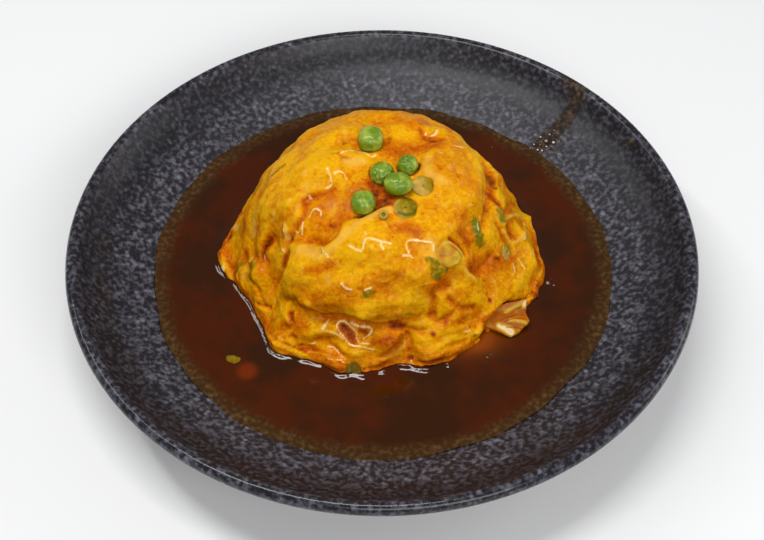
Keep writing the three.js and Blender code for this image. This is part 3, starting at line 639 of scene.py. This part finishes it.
# Painted shadow: a dark rim round each pea, where it sits on the egg.
for number in range(1, PEAS + 1):
    low, high = (np.array(corner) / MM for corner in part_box(f"pea_{number}"))
    gap = np.linalg.norm(places - (low + high) / 2, axis=1) - (high - low).mean() / 2
    sauce_and_shade = np.maximum(sauce_and_shade, PEA_SHADOW["sauce_and_shade"] * np.exp(-((np.maximum(gap, 0) / PEA_SHADOW["width"]) ** 2)))
for depth, width, stain, points in GROOVES:
    sauce_and_shade = np.maximum(sauce_and_shade, stain * stroke(points, width * 0.8, at))
brush(omelette, "sauce", np.clip(sauce_and_shade, 0, 1))
brush(omelette, "pale", strokes(PALES, at) * (1 - 0.6 * np.clip(fine * 2, 0, 1)))
brush(omelette, "glaze", ripples)
brush(omelette, "leaf", leaves)
layer = omelette.data.attributes.new("sheet", "FLOAT_VECTOR", "POINT")
layer.data.foreach_set("vector", np.column_stack((at, places[:, 2] * 0.3)).astype(np.float32).ravel())
hang(omelette, "egg", "omelette")
for name, depth in (("fine", fine), ("broad", broad)):
    print(name, "hollows", round(depth.min(), 2), "to", round(depth.max(), 2), "mm")

# %% [markdown]
# ## Stoneware finish
# The glaze is charcoal with a slight violet tint, flecked all over with soft pale specks one or two millimetres wide.
# It is painted darker on the steep part of the wall as shade, and paler lower down and on the lip. The same specks
# show through the thin edge of the sauce, so they are one function that each finish can call.

# %% Stoneware finish
def specks(finish):
    """Pale specks of the glaze, 0 to 1."""
    soft = finish.noise(520, 2, 0.5).between(0.4, 0.75)
    cells = {"Vector": finish.at, "Scale": 400, "Smoothness": 0.6}
    shape = {"feature": "SMOOTH_F1"}
    dots = 1 - finish.node("ShaderNodeTexVoronoi", shape, cells, "Distance").between(0.05, 0.5)
    patchy = finish.noise(190, 1).between(0.4, 0.62)
    return (soft * 0.6 + dots * patchy * 0.7).least(1)


def radius_of(finish):
    """Distance from the plate's axis in mm."""
    flat = finish.node("ShaderNodeVectorMath", {"operation": "MULTIPLY"}, {0: finish.at, 1: (1, 1, 0)})
    return finish.node("ShaderNodeVectorMath", {"operation": "LENGTH"}, {0: flat}, "Value") * 1000


def stoneware_finish():
    glaze = Finish("stoneware", Specular_IOR_Level=0.3)
    radius = radius_of(glaze)
    # Painted shade: darker on the steep wall, paler below it and on the lip.
    painted_wall_shade = radius.between(97, 108) - radius.between(113.5, 116) * 0.75
    cloud = glaze.noise(22, 2).between(0.35, 0.65)
    fleck = specks(glaze)
    ground = glaze.mix((33, 31, 36), (17, 15, 19), painted_wall_shade * 0.85)
    ground = glaze.mix(ground, (30, 25, 25), cloud * 0.3)
    pale = glaze.mix((120, 119, 131), (94, 93, 104), painted_wall_shade)
    body = glaze.mix(ground, pale, fleck * (0.86 - painted_wall_shade * 0.26))
    stain = (glaze.painted("stain") + (glaze.noise(240, 4) - 0.5) * 0.5).between(0.25, 0.7)
    body = glaze.mix(body, glaze.mix((28, 18, 12), (92, 72, 50), fleck), stain * 0.92)
    rough_glaze = 0.4 + fleck * 0.1 + stain * 0.35 - radius.between(114.5, 117) * 0.22
    glaze.feed(Base_Color=body, Roughness=rough_glaze, Normal=glaze.bump(glaze.noise(260, 3), 0.1))
    return glaze


FINISHES["stoneware"] = stoneware_finish()

# %% [markdown]
# ## Plate
# A plate is thrown or pressed round one axis, so it is a profile that is spun. The profile follows the solid's: the
# same points, joined by the same kind of smooth curve, only with more steps, and the lip is a true arc.

# %% Plate
LIP = {"radius": 119.94, "height": 36, "bead": 2.6, "inner": 132, "outer": -48}


def on_lip(degrees):
    """Radius and height of a place on the lip's arc."""
    a = math.radians(degrees)
    radius = LIP["radius"] - LIP["bead"] * (1 - math.cos(a))
    return radius, LIP["height"] - LIP["bead"] * (1 - math.sin(a))


FLOOR = 13.5
WALL = smooth_line([(71, FLOOR), (79, 15.2), (89, 19.5), (104, 25.6), (111, 30.2), on_lip(LIP["inner"])], 12)
UNDER = smooth_line([on_lip(LIP["outer"]), (111, 25), (96, 17.2), (78, 10.2), (61.5, 6.6)], 6)
FOOT = [(60.3, 5.6), (59.6, 2), (59.1, 0.8), (58.8, 0.25), (58.2, 0), (54.8, 0), (54.3, 0.3), (53.8, 2),
        (53.5, 5.4), (52.9, 6), (0, 6)]


def spun(name, profile, turns):
    """A closed profile of (radius, height) turned once about the vertical axis."""
    mesh = bpy.data.meshes.new(name)
    points = [(radius * MM, 0, height * MM) for radius, height in profile]
    mesh.from_pydata(points, [(i, i + 1) for i in range(len(points) - 1)], [])
    piece = linked(name, mesh)
    turn = {"steps": turns, "angle": 2 * math.pi, "center": (0, 0, 0), "axis": (0, 0, 1)}
    edit(piece, (bpy.ops.mesh.spin, turn))
    return edit(piece, MERGE, (bpy.ops.mesh.normals_make_consistent, {"inside": False}))


rim = [on_lip(degrees) for degrees in np.linspace(LIP["inner"], LIP["outer"], 15)[1:-1]]
plate = spun("stoneware_plate", [(0, FLOOR), (30, FLOOR), (55, FLOOR), *WALL, *rim, *UNDER, *FOOT], 360)


def bed(radius):
    """Height of the plate's eating surface at a distance from its middle."""
    line = np.array([(0, FLOOR), *WALL])
    return np.interp(radius, line[:, 0], line[:, 1])

# %% [markdown]
# A spoonful of sauce ran down the wall from the lip, behind on the right, and was wiped thin: what is left is a brown
# tint over the specks. It is brushed onto the plate's own corners, with a few fainter smears.

# %% Smears on the plate
RUN = [76.9, 91.4, 79.6, 86, 80.7, 79.8, 78.8, 76.6, 75.2, 72.9, 72.1, 69.8, 68.4, 66.5, 65.5, 64.5]
SMEARS = [(3.5, 1.05, RUN), (2.2, 0.8, [100.1, 54.2]), (5, 0.4, [-108, 8, -107, -2]),
          (9, 0.42, [-106, -14, -103, -30, -98, -44, -88, -58])]
spots = corners(plate)
inside = (spots[:, 2] > FLOOR - 0.5) & (outward(plate)[:, 2] > 0.1)
brush(plate, "stain", strokes(SMEARS, spots[:, :2]) * inside)
hang(plate, "stoneware", "plate")

# %% [markdown]
# ## Sauce finish
# The sauce is dark red-brown where it is deep. Towards its edge it thins to olive brown, and the specks of the plate
# show through. A thin edge could be made see-through, but a part of two clear layers often sorts wrongly elsewhere,
# so the specks are painted into the sauce instead. One piece of onion has sunk and shows as a rust-red disc.

# %% Sauce finish
SUNK = (-49.7, -50.2, LEVEL)


def sauce_finish():
    sauce = Finish("brown_sauce", Roughness=0.06, Specular_IOR_Level=0.24)
    film = sauce.painted("film") + (sauce.noise(90, 4) - 0.5) * 0.75
    cloud = sauce.noise(38, 3, 0.6)
    deep = sauce.mix((69, 24, 0), (51, 23, 3), cloud.between(0.4, 0.62))
    edge = sauce.mix((57, 35, 10), (100, 74, 42), specks(sauce) * 0.8)
    body = sauce.mix(deep, edge, film.between(0.15, 0.95))
    away = sauce.node("ShaderNodeVectorMath", {"operation": "DISTANCE"},
                      {0: sauce.at, 1: [side * MM for side in SUNK]}, "Value") * 1000
    body = sauce.mix(body, (108, 38, 1), (1 - away.between(1.6, 5.4)) * 0.9)
    body = sauce.mix(body, (158, 72, 2), sauce.painted("thin") * 0.95)
    # Painted highlight: white spots of light on the bubbles.
    body = sauce.mix(body, (206, 200, 196), sauce.painted("foam_with_glints"))
    sauce.feed(Base_Color=body, Normal=sauce.bump(sauce.noise(60, 2), 0.25, 0.35))
    return sauce


FINISHES["brown_sauce"] = sauce_finish()

# %% [markdown]
# ## Sauce
# The pool is spun too, flat on top and following the plate underneath. Then its top is sculpted: it climbs a little
# where it wets the omelette, which gives the thin bright lines along the omelette's foot, and it ends in a thin,
# uneven film on the plate. The distance to the omelette comes from the corners that stand at the sauce's level.

# %% Sauce
POOL = 90.4
EDGE = 88.9
CLIMB = 1.45
FILM = 0.34
CLEAR = 0.1
rings = [0, 20, 36, 42, *np.arange(45, 86, 0.75), *np.arange(86, POOL + 0.1, 0.4)]
top = [(radius, LEVEL) for radius in rings]
below = [(radius, bed(radius) + CLEAR) for radius in (POOL, 88, 80, 71, 40, 0)]
sauce = spun("sauce_pool", top + below, 420)

foot = places[(places[:, 2] > LEVEL - 0.3) & (places[:, 2] < LEVEL + 1.7)]
tree = KDTree(len(foot))
for i, place in enumerate(foot):
    tree.insert((place[0], place[1], 0), i)
tree.balance()
spots = corners(sauce)
radius = np.hypot(*spots.T[:2])
turn = np.arctan2(spots[:, 1], spots[:, 0])
on_top = spots[:, 2] > LEVEL - 0.01
gap = np.array([tree.find((x, y, 0))[2] for x, y, z in spots])
wave = 0.92 + 0.22 * rough(spots * (1, 1, 0), 9, 7)
rise = CLIMB * wave * np.exp(-gap / 2.1) + 0.08 * rough(spots * (1, 1, 0), 16, 4)
edge = EDGE + 0.7 * np.sin(3 * turn + 1) + 0.45 * np.sin(11 * turn) + 0.35 * np.sin(23 * turn + 2)
outer = soft_step(radius, 84, POOL)
spread = np.where(outer > 0, radius + outer * (edge - POOL), radius)
film = FILM * soft_step(edge - spread, -0.1, 2.4) - 0.06
height = np.maximum(LEVEL + rise * soft_step(edge - spread, 0, 3), bed(spread) + film)
spots[:, :2] *= (spread / np.maximum(radius, 1e-6))[:, None]
spots[on_top, 2] = height[on_top]
under = bed(spread[~on_top]) + CLEAR
spots[~on_top, 2] = np.minimum(spots[~on_top, 2], under) - 0.12 * (radius[~on_top] > 75)
move(sauce, spots)
depth = LEVEL - bed(spread)
brush(sauce, "film", 1 - soft_step(depth, 0, 5))
brush(sauce, "foam_with_glints", 0)
thin = np.hypot((spots[:, 0] - 39) / 12, (spots[:, 1] + 37) / 8)
brush(sauce, "thin", np.exp(-(thin**2)) * np.exp(-gap / 5))
hang(sauce, "brown_sauce", "sauce")
print("sauce rises to", round(spots[:, 2].max(), 2), "mm")

# %% [markdown]
# ## Peas
# A boiled pea is a ball that has wrinkled a little: some are boxy, one has a puckered skin. Each starts as a sphere of
# the solid's size and is dented in code by noise of its own. The skin is bright green with paler patches, and a soft
# coat gives the broad shine of a wet pea. The dents and the underside are painted darker green as shade.

# %% Pea finish
def pea_finish():
    pea = Finish("pea", Roughness=0.4, Coat_Weight=0.4, Coat_Roughness=0.2, Specular_IOR_Level=0.3)
    pea.shader.inputs["Subsurface Weight"].default_value = 0.12
    pea.shader.inputs["Subsurface Radius"].default_value = (0.7, 0.8, 0.1)
    pea.shader.inputs["Subsurface Scale"].default_value = 0.002
    patch = pea.noise(260, 3)
    fine = pea.noise(900, 2)
    body = pea.mix((104, 134, 6), (156, 174, 56), patch.between(0.38, 0.66))
    # Painted shade: darker green in the dents and on the underside.
    body = pea.mix(body, (66, 88, 2), pea.painted("dent_and_shade") * 0.85)
    pea.feed(Base_Color=body, Normal=pea.bump(patch * 0.6 + fine * 0.25, 0.3))
    return pea


FINISHES["pea"] = pea_finish()

# %% Peas
def pea(number, boxy, wrinkle, lumps, seed, wide=1.05):
    """A ball that is boxier and more wrinkled as those numbers rise."""
    low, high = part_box(f"pea_{number}")
    sphere = {"segments": 56, "ring_count": 36, "radius": 1, "location": (low + high) / 2}
    piece = made(bpy.ops.mesh.primitive_uv_sphere_add, f"green_pea_{number}", **sphere)
    piece.scale = (high - low) / 2
    settle(piece)
    places = corners(piece)
    middle = places.mean(0)
    size = np.array(high - low) / MM / 2
    ball = (places - middle) / size
    squared = np.abs(ball) ** boxy
    ball /= (squared.sum(1) ** (1 / boxy))[:, None] ** 0.55
    ball /= np.abs(ball).max()
    dent_and_shade = wrinkle * creased(ball * 4, lumps, seed)
    move(piece, middle + ball * size * (wide, wide, 0.97) * (1 + np.minimum(dent_and_shade, 0.01))[:, None])
    # Painted shade for the finish: the dents and the lower half go darker.
    brush(piece, "dent_and_shade", np.clip(np.maximum(-dent_and_shade * 9, soft_step(-ball[:, 2], 0.1, 0.6)), 0, 1))
    hang(piece, "pea", f"pea_{number}")


pea(1, 3.4, 0.03, 3.5, 1)
pea(2, 2.3, 0.1, 2.2, 5)
pea(3, 2.2, 0.03, 4, 3)
pea(4, 2.2, 0.09, 2.6, 8, 0.95)
pea(5, 2.6, 0.05, 3, 6)

# %% [markdown]
# ## Spring onion
# A slice of spring onion is a disc with a small dark heart, cooked until it is half clear, so that its rings hardly
# show. A cylinder is inset a few times and smoothed, and its top becomes a low dome that starts level with the egg
# round it, so that the slice looks pressed in. The solid says where each slice lies and how it leans: the direction
# in which its corners spread least is its axis.

# %% Onion finish
def onion_finish():
    onion = Finish("spring_onion", Roughness=0.4, Coat_Weight=0.06, Coat_Roughness=0.25,
                   Specular_IOR_Level=0.05)
    grain = onion.noise(420, 4, 0.6)
    cloudy = onion.noise(190, 2).between(0.42, 0.6)
    ring = onion.painted("ring") + (grain - 0.5) * 0.3
    tint = onion.painted("tint") + (onion.noise(300, 3) - 0.5) * 0.5
    flesh = onion.mix((96, 72, 0), (156, 126, 14), tint.between(0, 0.5))
    flesh = onion.mix(flesh, (196, 154, 74), tint.between(0.5, 1))
    flesh = onion.mix(flesh, (128, 120, 14), cloudy * 0.35)
    body = onion.mix((72, 70, 2), flesh, (ring + cloudy * 0.1).between(0.08, 0.28))
    body = onion.mix(body, (88, 84, 0), onion.painted("shade").between(0.2, 0.9) * 0.85)
    onion.feed(Base_Color=body, Normal=onion.bump(grain, 0.25))
    return onion


FINISHES["spring_onion"] = onion_finish()

# %% Onion slices
def axis_of(node):
    """Middle, axis, radius and thickness of a round flat solid."""
    places = np.array([corner.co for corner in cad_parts[node].data.vertices])
    middle = (places.min(0) + places.max(0)) / 2
    axis = np.linalg.svd(places - places.mean(0), full_matrices=False)[2][2]
    axis *= np.sign(axis[2])
    off = (places - middle) @ axis
    flat = np.linalg.norm(places - middle - off[:, None] * axis, axis=1)
    return Vector(middle), Vector(axis), flat.max(), np.ptp(off)


def onion_slice(number, tint, shaded, height, seed):
    """A domed slice, olive at tint 0 and cream at 1, with its front edge shaded."""
    middle, axis, radius, thick = axis_of(f"onion_slice_{number}")
    disc = {"vertices": 40, "radius": radius, "depth": thick}
    piece = made(bpy.ops.mesh.primitive_cylinder_add, f"onion_ring_{number}", **disc)
    bpy.ops.object.mode_set(mode="EDIT")
    bpy.ops.mesh.select_mode(type="FACE")
    bpy.ops.mesh.select_all(action="DESELECT")
    bpy.ops.object.mode_set(mode="OBJECT")
    for face in piece.data.polygons:
        face.select = face.normal.z > 0.9
    bpy.ops.object.mode_set(mode="EDIT")
    for share in (0.16, 0.22, 0.22, 0.2):
        bpy.ops.mesh.inset(thickness=radius * share)
    bpy.ops.object.mode_set(mode="OBJECT")
    modify(piece, "BEVEL", width=radius * 0.16, segments=3, limit_method="ANGLE")
    modify(piece, "SUBSURF", levels=2, render_levels=2)
    spots = corners(piece)
    radius, thick = radius / MM, thick / MM
    out = np.hypot(*spots.T[:2]) / radius
    off = places - np.array(middle) / MM
    stand = off @ np.array(axis)
    away = np.linalg.norm(off - stand[:, None] * np.array(axis), axis=1) / radius
    ground = np.median(stand[(away > 1) & (away < 1.3) & (np.abs(stand) < 3)])
    spots[:, :2] *= (1.03 + 0.07 * rough(spots * 0.6, 2.2, seed))[:, None]
    domed = ground + height * (1 - out**4) + 0.16 * rough(spots, 1.5, seed + 5)
    domed -= 0.16 * np.exp(-((out / 0.2) ** 2))
    spots[:, 2] = np.where(spots[:, 2] > 0, domed, -thick / 2)
    print("egg round the slice stands at", round(ground, 2), "mm")
    move(piece, spots)
    brush(piece, "ring", out)
    brush(piece, "tint", np.clip(tint - 0.35 * spots[:, 0] / radius + 0.2 * rough(spots, 2, seed), 0, 1))
    away = np.hypot(spots[:, 0] / radius - 0.15, spots[:, 1] / radius - 0.2)
    brush(piece, "shade", shaded * np.exp(-((away - 0.95) / 0.2) ** 2) * soft_step(-spots[:, 1], 0, 1.5))
    piece.matrix_world = facing(middle, axis)
    settle(piece)
    hang(piece, "spring_onion", f"onion_slice_{number}")


onion_slice(1, 0.5, 0.9, 0.45, 1)
onion_slice(2, 0.85, 0.1, 0.4, 2)
onion_slice(3, 0.85, 0.3, 0.3, 3)
onion_slice(4, 0.12, 0.2, 0.3, 4)

# %% Onion hoop
HOOP = (0.5, -22.5)
spot = ((at - HOOP) ** 2).sum(1).argmin()
ring = {"major_radius": 1.25 * MM, "minor_radius": 0.5 * MM, "major_segments": 28, "minor_segments": 12}
hoop = made(bpy.ops.mesh.primitive_torus_add, "onion_hoop", **ring)
hoop.matrix_world = facing(places[spot] * MM, outward(omelette)[spot])
settle(hoop)
for name, amount in (("ring", 1.1), ("tint", 1), ("shade", 0)):
    brush(hoop, name, amount)
hang(hoop, "spring_onion")

# %% Floating onion
floating = copied("floating_onion", "floating_leaf")
modify(floating, "SUBSURF", levels=3, render_levels=3)
spots = corners(floating)
centre = spots.mean(0)
uneven = outward(floating) * (0.25 * rough(spots, 1.6, 9))[:, None]
spots = centre + (spots - centre) * (1.16, 1.16, 1) + uneven
move(floating, spots)
brush(floating, "ring", 0.55 + 0.3 * rough(spots, 2.2, 4))
brush(floating, "tint", 0.28)
brush(floating, "shade", 0)
hang(floating, "spring_onion", "floating_onion")

# %% [markdown]
# ## Crab
# Crab meat takes up the colour of the sauce and stays white only where it stands clear. A remeshed copy of each solid
# gets grooves and pale bands, drawn as strokes like the egg's. The piece at the end of the flap is pressed flat, given
# straight sides and sunk on its left. The flake by the sauce is orange-brown, with a white tip and a white wedge.

# %% Crab finish
def crab_finish():
    crab = Finish("crab_meat", Roughness=0.5, Coat_Weight=0.12, Coat_Roughness=0.15, Specular_IOR_Level=0.1)
    grain = crab.noise(420, 4, 0.6)
    dry = crab.painted("dry") + (grain - 0.5) * 0.3 + (crab.noise(240, 3) - 0.5) * 0.5
    body = crab.mix((172, 90, 0), (197, 154, 34), dry.between(0.1, 0.55))
    body = crab.mix(body, (234, 206, 156), dry.between(0.6, 1))
    body = crab.mix(body, (134, 58, 2), crab.painted("groove").between(0.1, 1) * 0.75)
    crab.feed(Base_Color=body, Normal=crab.bump(grain, 0.3))
    return crab


FINISHES["crab_meat"] = crab_finish()

# %% Crab pieces
def crab(node, name, dry, grooves, base, shaped=None):
    """A piece of crab with dry pale strokes and grooves, base pale elsewhere."""
    piece = copied(node, name)
    modify(piece, "REMESH", mode="VOXEL", voxel_size=0.3 * MM)
    modify(piece, "SMOOTH", factor=0.6, iterations=10)
    if shaped:
        move(piece, shaped(corners(piece)))
    spots = corners(piece)
    groove = strokes(grooves, spots[:, :2])
    lift = 0.12 * rough(spots, 2.4, 3) - 0.45 * groove
    brush(piece, "groove", groove)
    brush(piece, "dry", np.maximum(base + 0.16 * rough(spots, 2.6, 2), strokes(dry, spots[:, :2])))
    move(piece, spots + outward(piece) * lift[:, None])
    hang(piece, "crab_meat", node)


SIDES = [(-6.3, 4), (-1.4, 4.9), (4.8, 2.2), (5.4, 0.9), (4.8, -3), (1.1, -5), (-1.3, -4.7), (-5.8, -4.2),
         (-7, -2.2), (-7.2, 1.1)]


def slab(spots):
    """Presses the chunk flat against the egg and gives it straight sides."""
    up, right, back = np.array([(0.3, -0.62, 0.72), (0.923, 0, -0.385), (0.239, 0.783, 0.574)])
    middle = spots.mean(0)
    off = spots - middle
    flat = np.column_stack((off @ right, off @ back))
    turn, away = np.arctan2(flat[:, 1], flat[:, 0]), np.hypot(*flat.T)
    steps = np.linspace(-math.pi, math.pi, 61)
    edge = np.interp(turn, steps, [away[np.abs(turn - step) < 0.08].max() for step in steps])
    ends = zip(np.array(SIDES), np.roll(SIDES, -1, 0))
    sides = np.array([a + (b - a) * t for a, b in ends for t in np.arange(0, 1, 0.05)])
    wanted = np.interp(turn, np.arctan2(sides[:, 1], sides[:, 0]), np.hypot(*sides.T), period=2 * math.pi)
    out = away / edge
    high = np.where(off @ up > 0, 1.1 * np.sqrt(np.clip(1 - out**6, 0, 1)), off @ up)
    high += 0.3 * rough(spots, 2.6, 8) - 1.9 * soft_step(-flat[:, 0], 0, 6)
    flat *= (wanted / edge)[:, None]
    return middle + (-0.5, -1, -0.4) + flat @ np.array([right, back]) + (high - 0.35)[:, None] * up


CHUNK = {
    "dry": [(2.4, 0.66, [28.2, -25.6, 27, -27]), (0.6, 0.72, [22.3, -22.6, 26, -22.6, 29.6, -25])],
    "grooves": [(1.7, 0.3, [23.7, -25.3]), (0.35, 0.7, [25.5, -23.4, 29, -25.6])],
    "base": 0.4,
}
FLAKE = {
    "dry": [(1.1, 1, [53.4, -23.4, 54.3, -22.3]), (0.9, 0.5, [46.5, -26.2, 49.2, -24.7, 52.6, -23]),
            (0.8, 0.5, [47.9, -29.8, 50.9, -29.7, 54.3, -30.6]),
            (1.2, 1, [43.7, -31.9, 46, -33, 48.4, -34.6, 48.4, -33, 45.5, -32.2])],
    "grooves": [(0.8, 0.7, [44.5, -29.8, 48.4, -27.9, 51.5, -25.5, 54, -24.9]),
                (0.6, 0.5, [45, -31.2, 49, -31.1, 53, -31.2]),
                (0.4, 0.8, [45, -27.6, 49, -25.8, 52.4, -24.2]),
                (0.35, 0.7, [45.4, -28.6, 49, -27, 53, -25.8]), (0.4, 0.7, [46, -30.4, 50, -29, 54.4, -28.6]),
                (0.35, 0.8, [46.6, -32, 50, -32, 52.4, -32.4])],
    "base": 0.12,
}
crab("crab_chunk", "crab_piece", **CHUNK, shaped=slab)
crab("crab_flake", "crab_fan", **FLAKE)

# %% [markdown]
# ## Bubbles
# Where the smear meets the pool there is a cluster of bubbles, and more lie by the right lobe and in front of it. A
# bubble is a small flattened ball that stands half out of the sauce, some with a painted white highlight on them, and
# they all are one piece.

# %% Bubbles
BUBBLES = [
    (68.1, 65.9, 1.3), (70.9, 64.6, 1.1), (66.3, 61.9, 0.9), (64.4, 62.7, 0.8), (69.2, 68.6, 0.9),
    (72.4, 67.3, 0.7), (63, 65.4, 0.9), (69.3, 62, 0.8), (66, 68.1, 0.8), (67.7, 63.4, 0.7),
    (65.4, 64.8, 1), (71.6, 70, 0.6), (73.3, 64.3, 0.5), (61.6, 64, 0.6), (64.2, 67.4, 0.6),
    (63.4, -8.3, 1.6), (65.2, -6.3, 0.9), (64.2, -3.8, 0.8), (66, -9.4, 0.6), (45.6, 64.7, 0.6),
    (38.9, -43.8, 0.9), (40.4, -42.6, 0.6), (-18, -52.9, 0.7), (7, -48.8, 0.8),
]
FLATTENED = 0.45
bubbles = []
for x, y, size in BUBBLES:
    ground = max(LEVEL, bed(math.hypot(x, y)) + 0.1)
    place = Vector((x, y, ground)) * MM
    bpy.ops.mesh.primitive_uv_sphere_add(segments=20, ring_count=12, radius=size * MM, location=place)
    bubble = bpy.context.object
    spots = corners(bubble)
    brush(bubble, "film", soft_step(spots[:, 2], 0, size) * 0.8)
    # Painted highlight: a white spot on the upper side of some bubbles.
    glint = np.linalg.norm(spots / size - (rng.uniform(-0.5, 0.3), -0.3, 0.85), axis=1)
    brush(bubble, "foam_with_glints", (1 - soft_step(glint, 0.35, 0.6)) * rng.choice((1, 0.5, 0.2, 0.1)))
    bubble.scale.z = FLATTENED
    bubbles.append(bubble)
take(*bubbles)
bpy.ops.object.join()
foam_with_glints = bpy.context.object
foam_with_glints.name = "sauce_bubbles"
settle(foam_with_glints)
brush(foam_with_glints, "thin", 0)
hang(foam_with_glints, "brown_sauce")

# %% [markdown]
# ## Floor, light and camera
# The floor is plain and pale. A narrow lamp high above and a second one on the left draw the thin bright lines where
# the sauce climbs the omelette's foot. Wide weak ones from the front and the right fill the shadows, and the
# surroundings are a dim even grey, which keeps the sauce dark. The camera looks down a little more steeply than half a
# right angle, from as far as a person holds one over a table.

# %% Floor
floor = made(bpy.ops.mesh.primitive_plane_add, "floor", size=6, location=(0, 0, -0.2 * MM))
pale = Finish("pale_floor", Roughness=0.9, Specular_IOR_Level=0.1)
pale.shader.inputs["Base Color"].default_value = colour(240, 240, 240)
floor.data.materials.append(pale.material)

# %% Light
def lamp(name, place, size, power, along=(1, 0, 0), aim=(0, 0, 0.04)):
    """An oblong lamp that faces aim, with its long side along a direction."""
    light = made(bpy.ops.object.light_add, name, type="AREA", location=place)
    light.data.shape = "RECTANGLE"
    light.data.size, light.data.size_y = size
    light.data.energy = power
    back = (Vector(place) - Vector(aim)).normalized()
    side = (Vector(along) - back * back.dot(Vector(along))).normalized()
    light.rotation_euler = Matrix((side, back.cross(side), back)).transposed().to_euler()


lamp("strip", (-0.17, 0, 1), (0.58, 0.1), 4.6)
lamp("left", (-0.58, 0.26, 0.86), (0.55, 0.08), 1.8, (-0.31, 0.82, -0.49))
lamp("front", (0.3, -1, 0.9), (1, 0.5), 9)
lamp("right", (1, 0.2, 0.5), (0.5, 0.5), 2.4)
world = bpy.data.worlds.new("studio")
bpy.context.scene.world = world
world.use_nodes = True
surroundings = world.node_tree.nodes["Background"].inputs
surroundings["Color"].default_value = (0.94, 0.96, 1, 1)
surroundings["Strength"].default_value = 0.22

bpy.context.scene.view_settings.view_transform = "Standard"

# %% Camera
LOOK_DOWN = math.radians(50.08)
DISTANCE = 0.6
aim = Vector((0, -13.86, 34)) * MM
back = Vector((0, -math.cos(LOOK_DOWN), math.sin(LOOK_DOWN)))
bpy.ops.object.camera_add(location=aim + back * DISTANCE)
camera = bpy.context.object
camera.rotation_euler = (-back).to_track_quat("-Z", "Y").to_euler()
camera.data.lens = 75.25
camera.data.sensor_width = 36
camera.data.clip_start = 0.01
bpy.context.scene.camera = camera
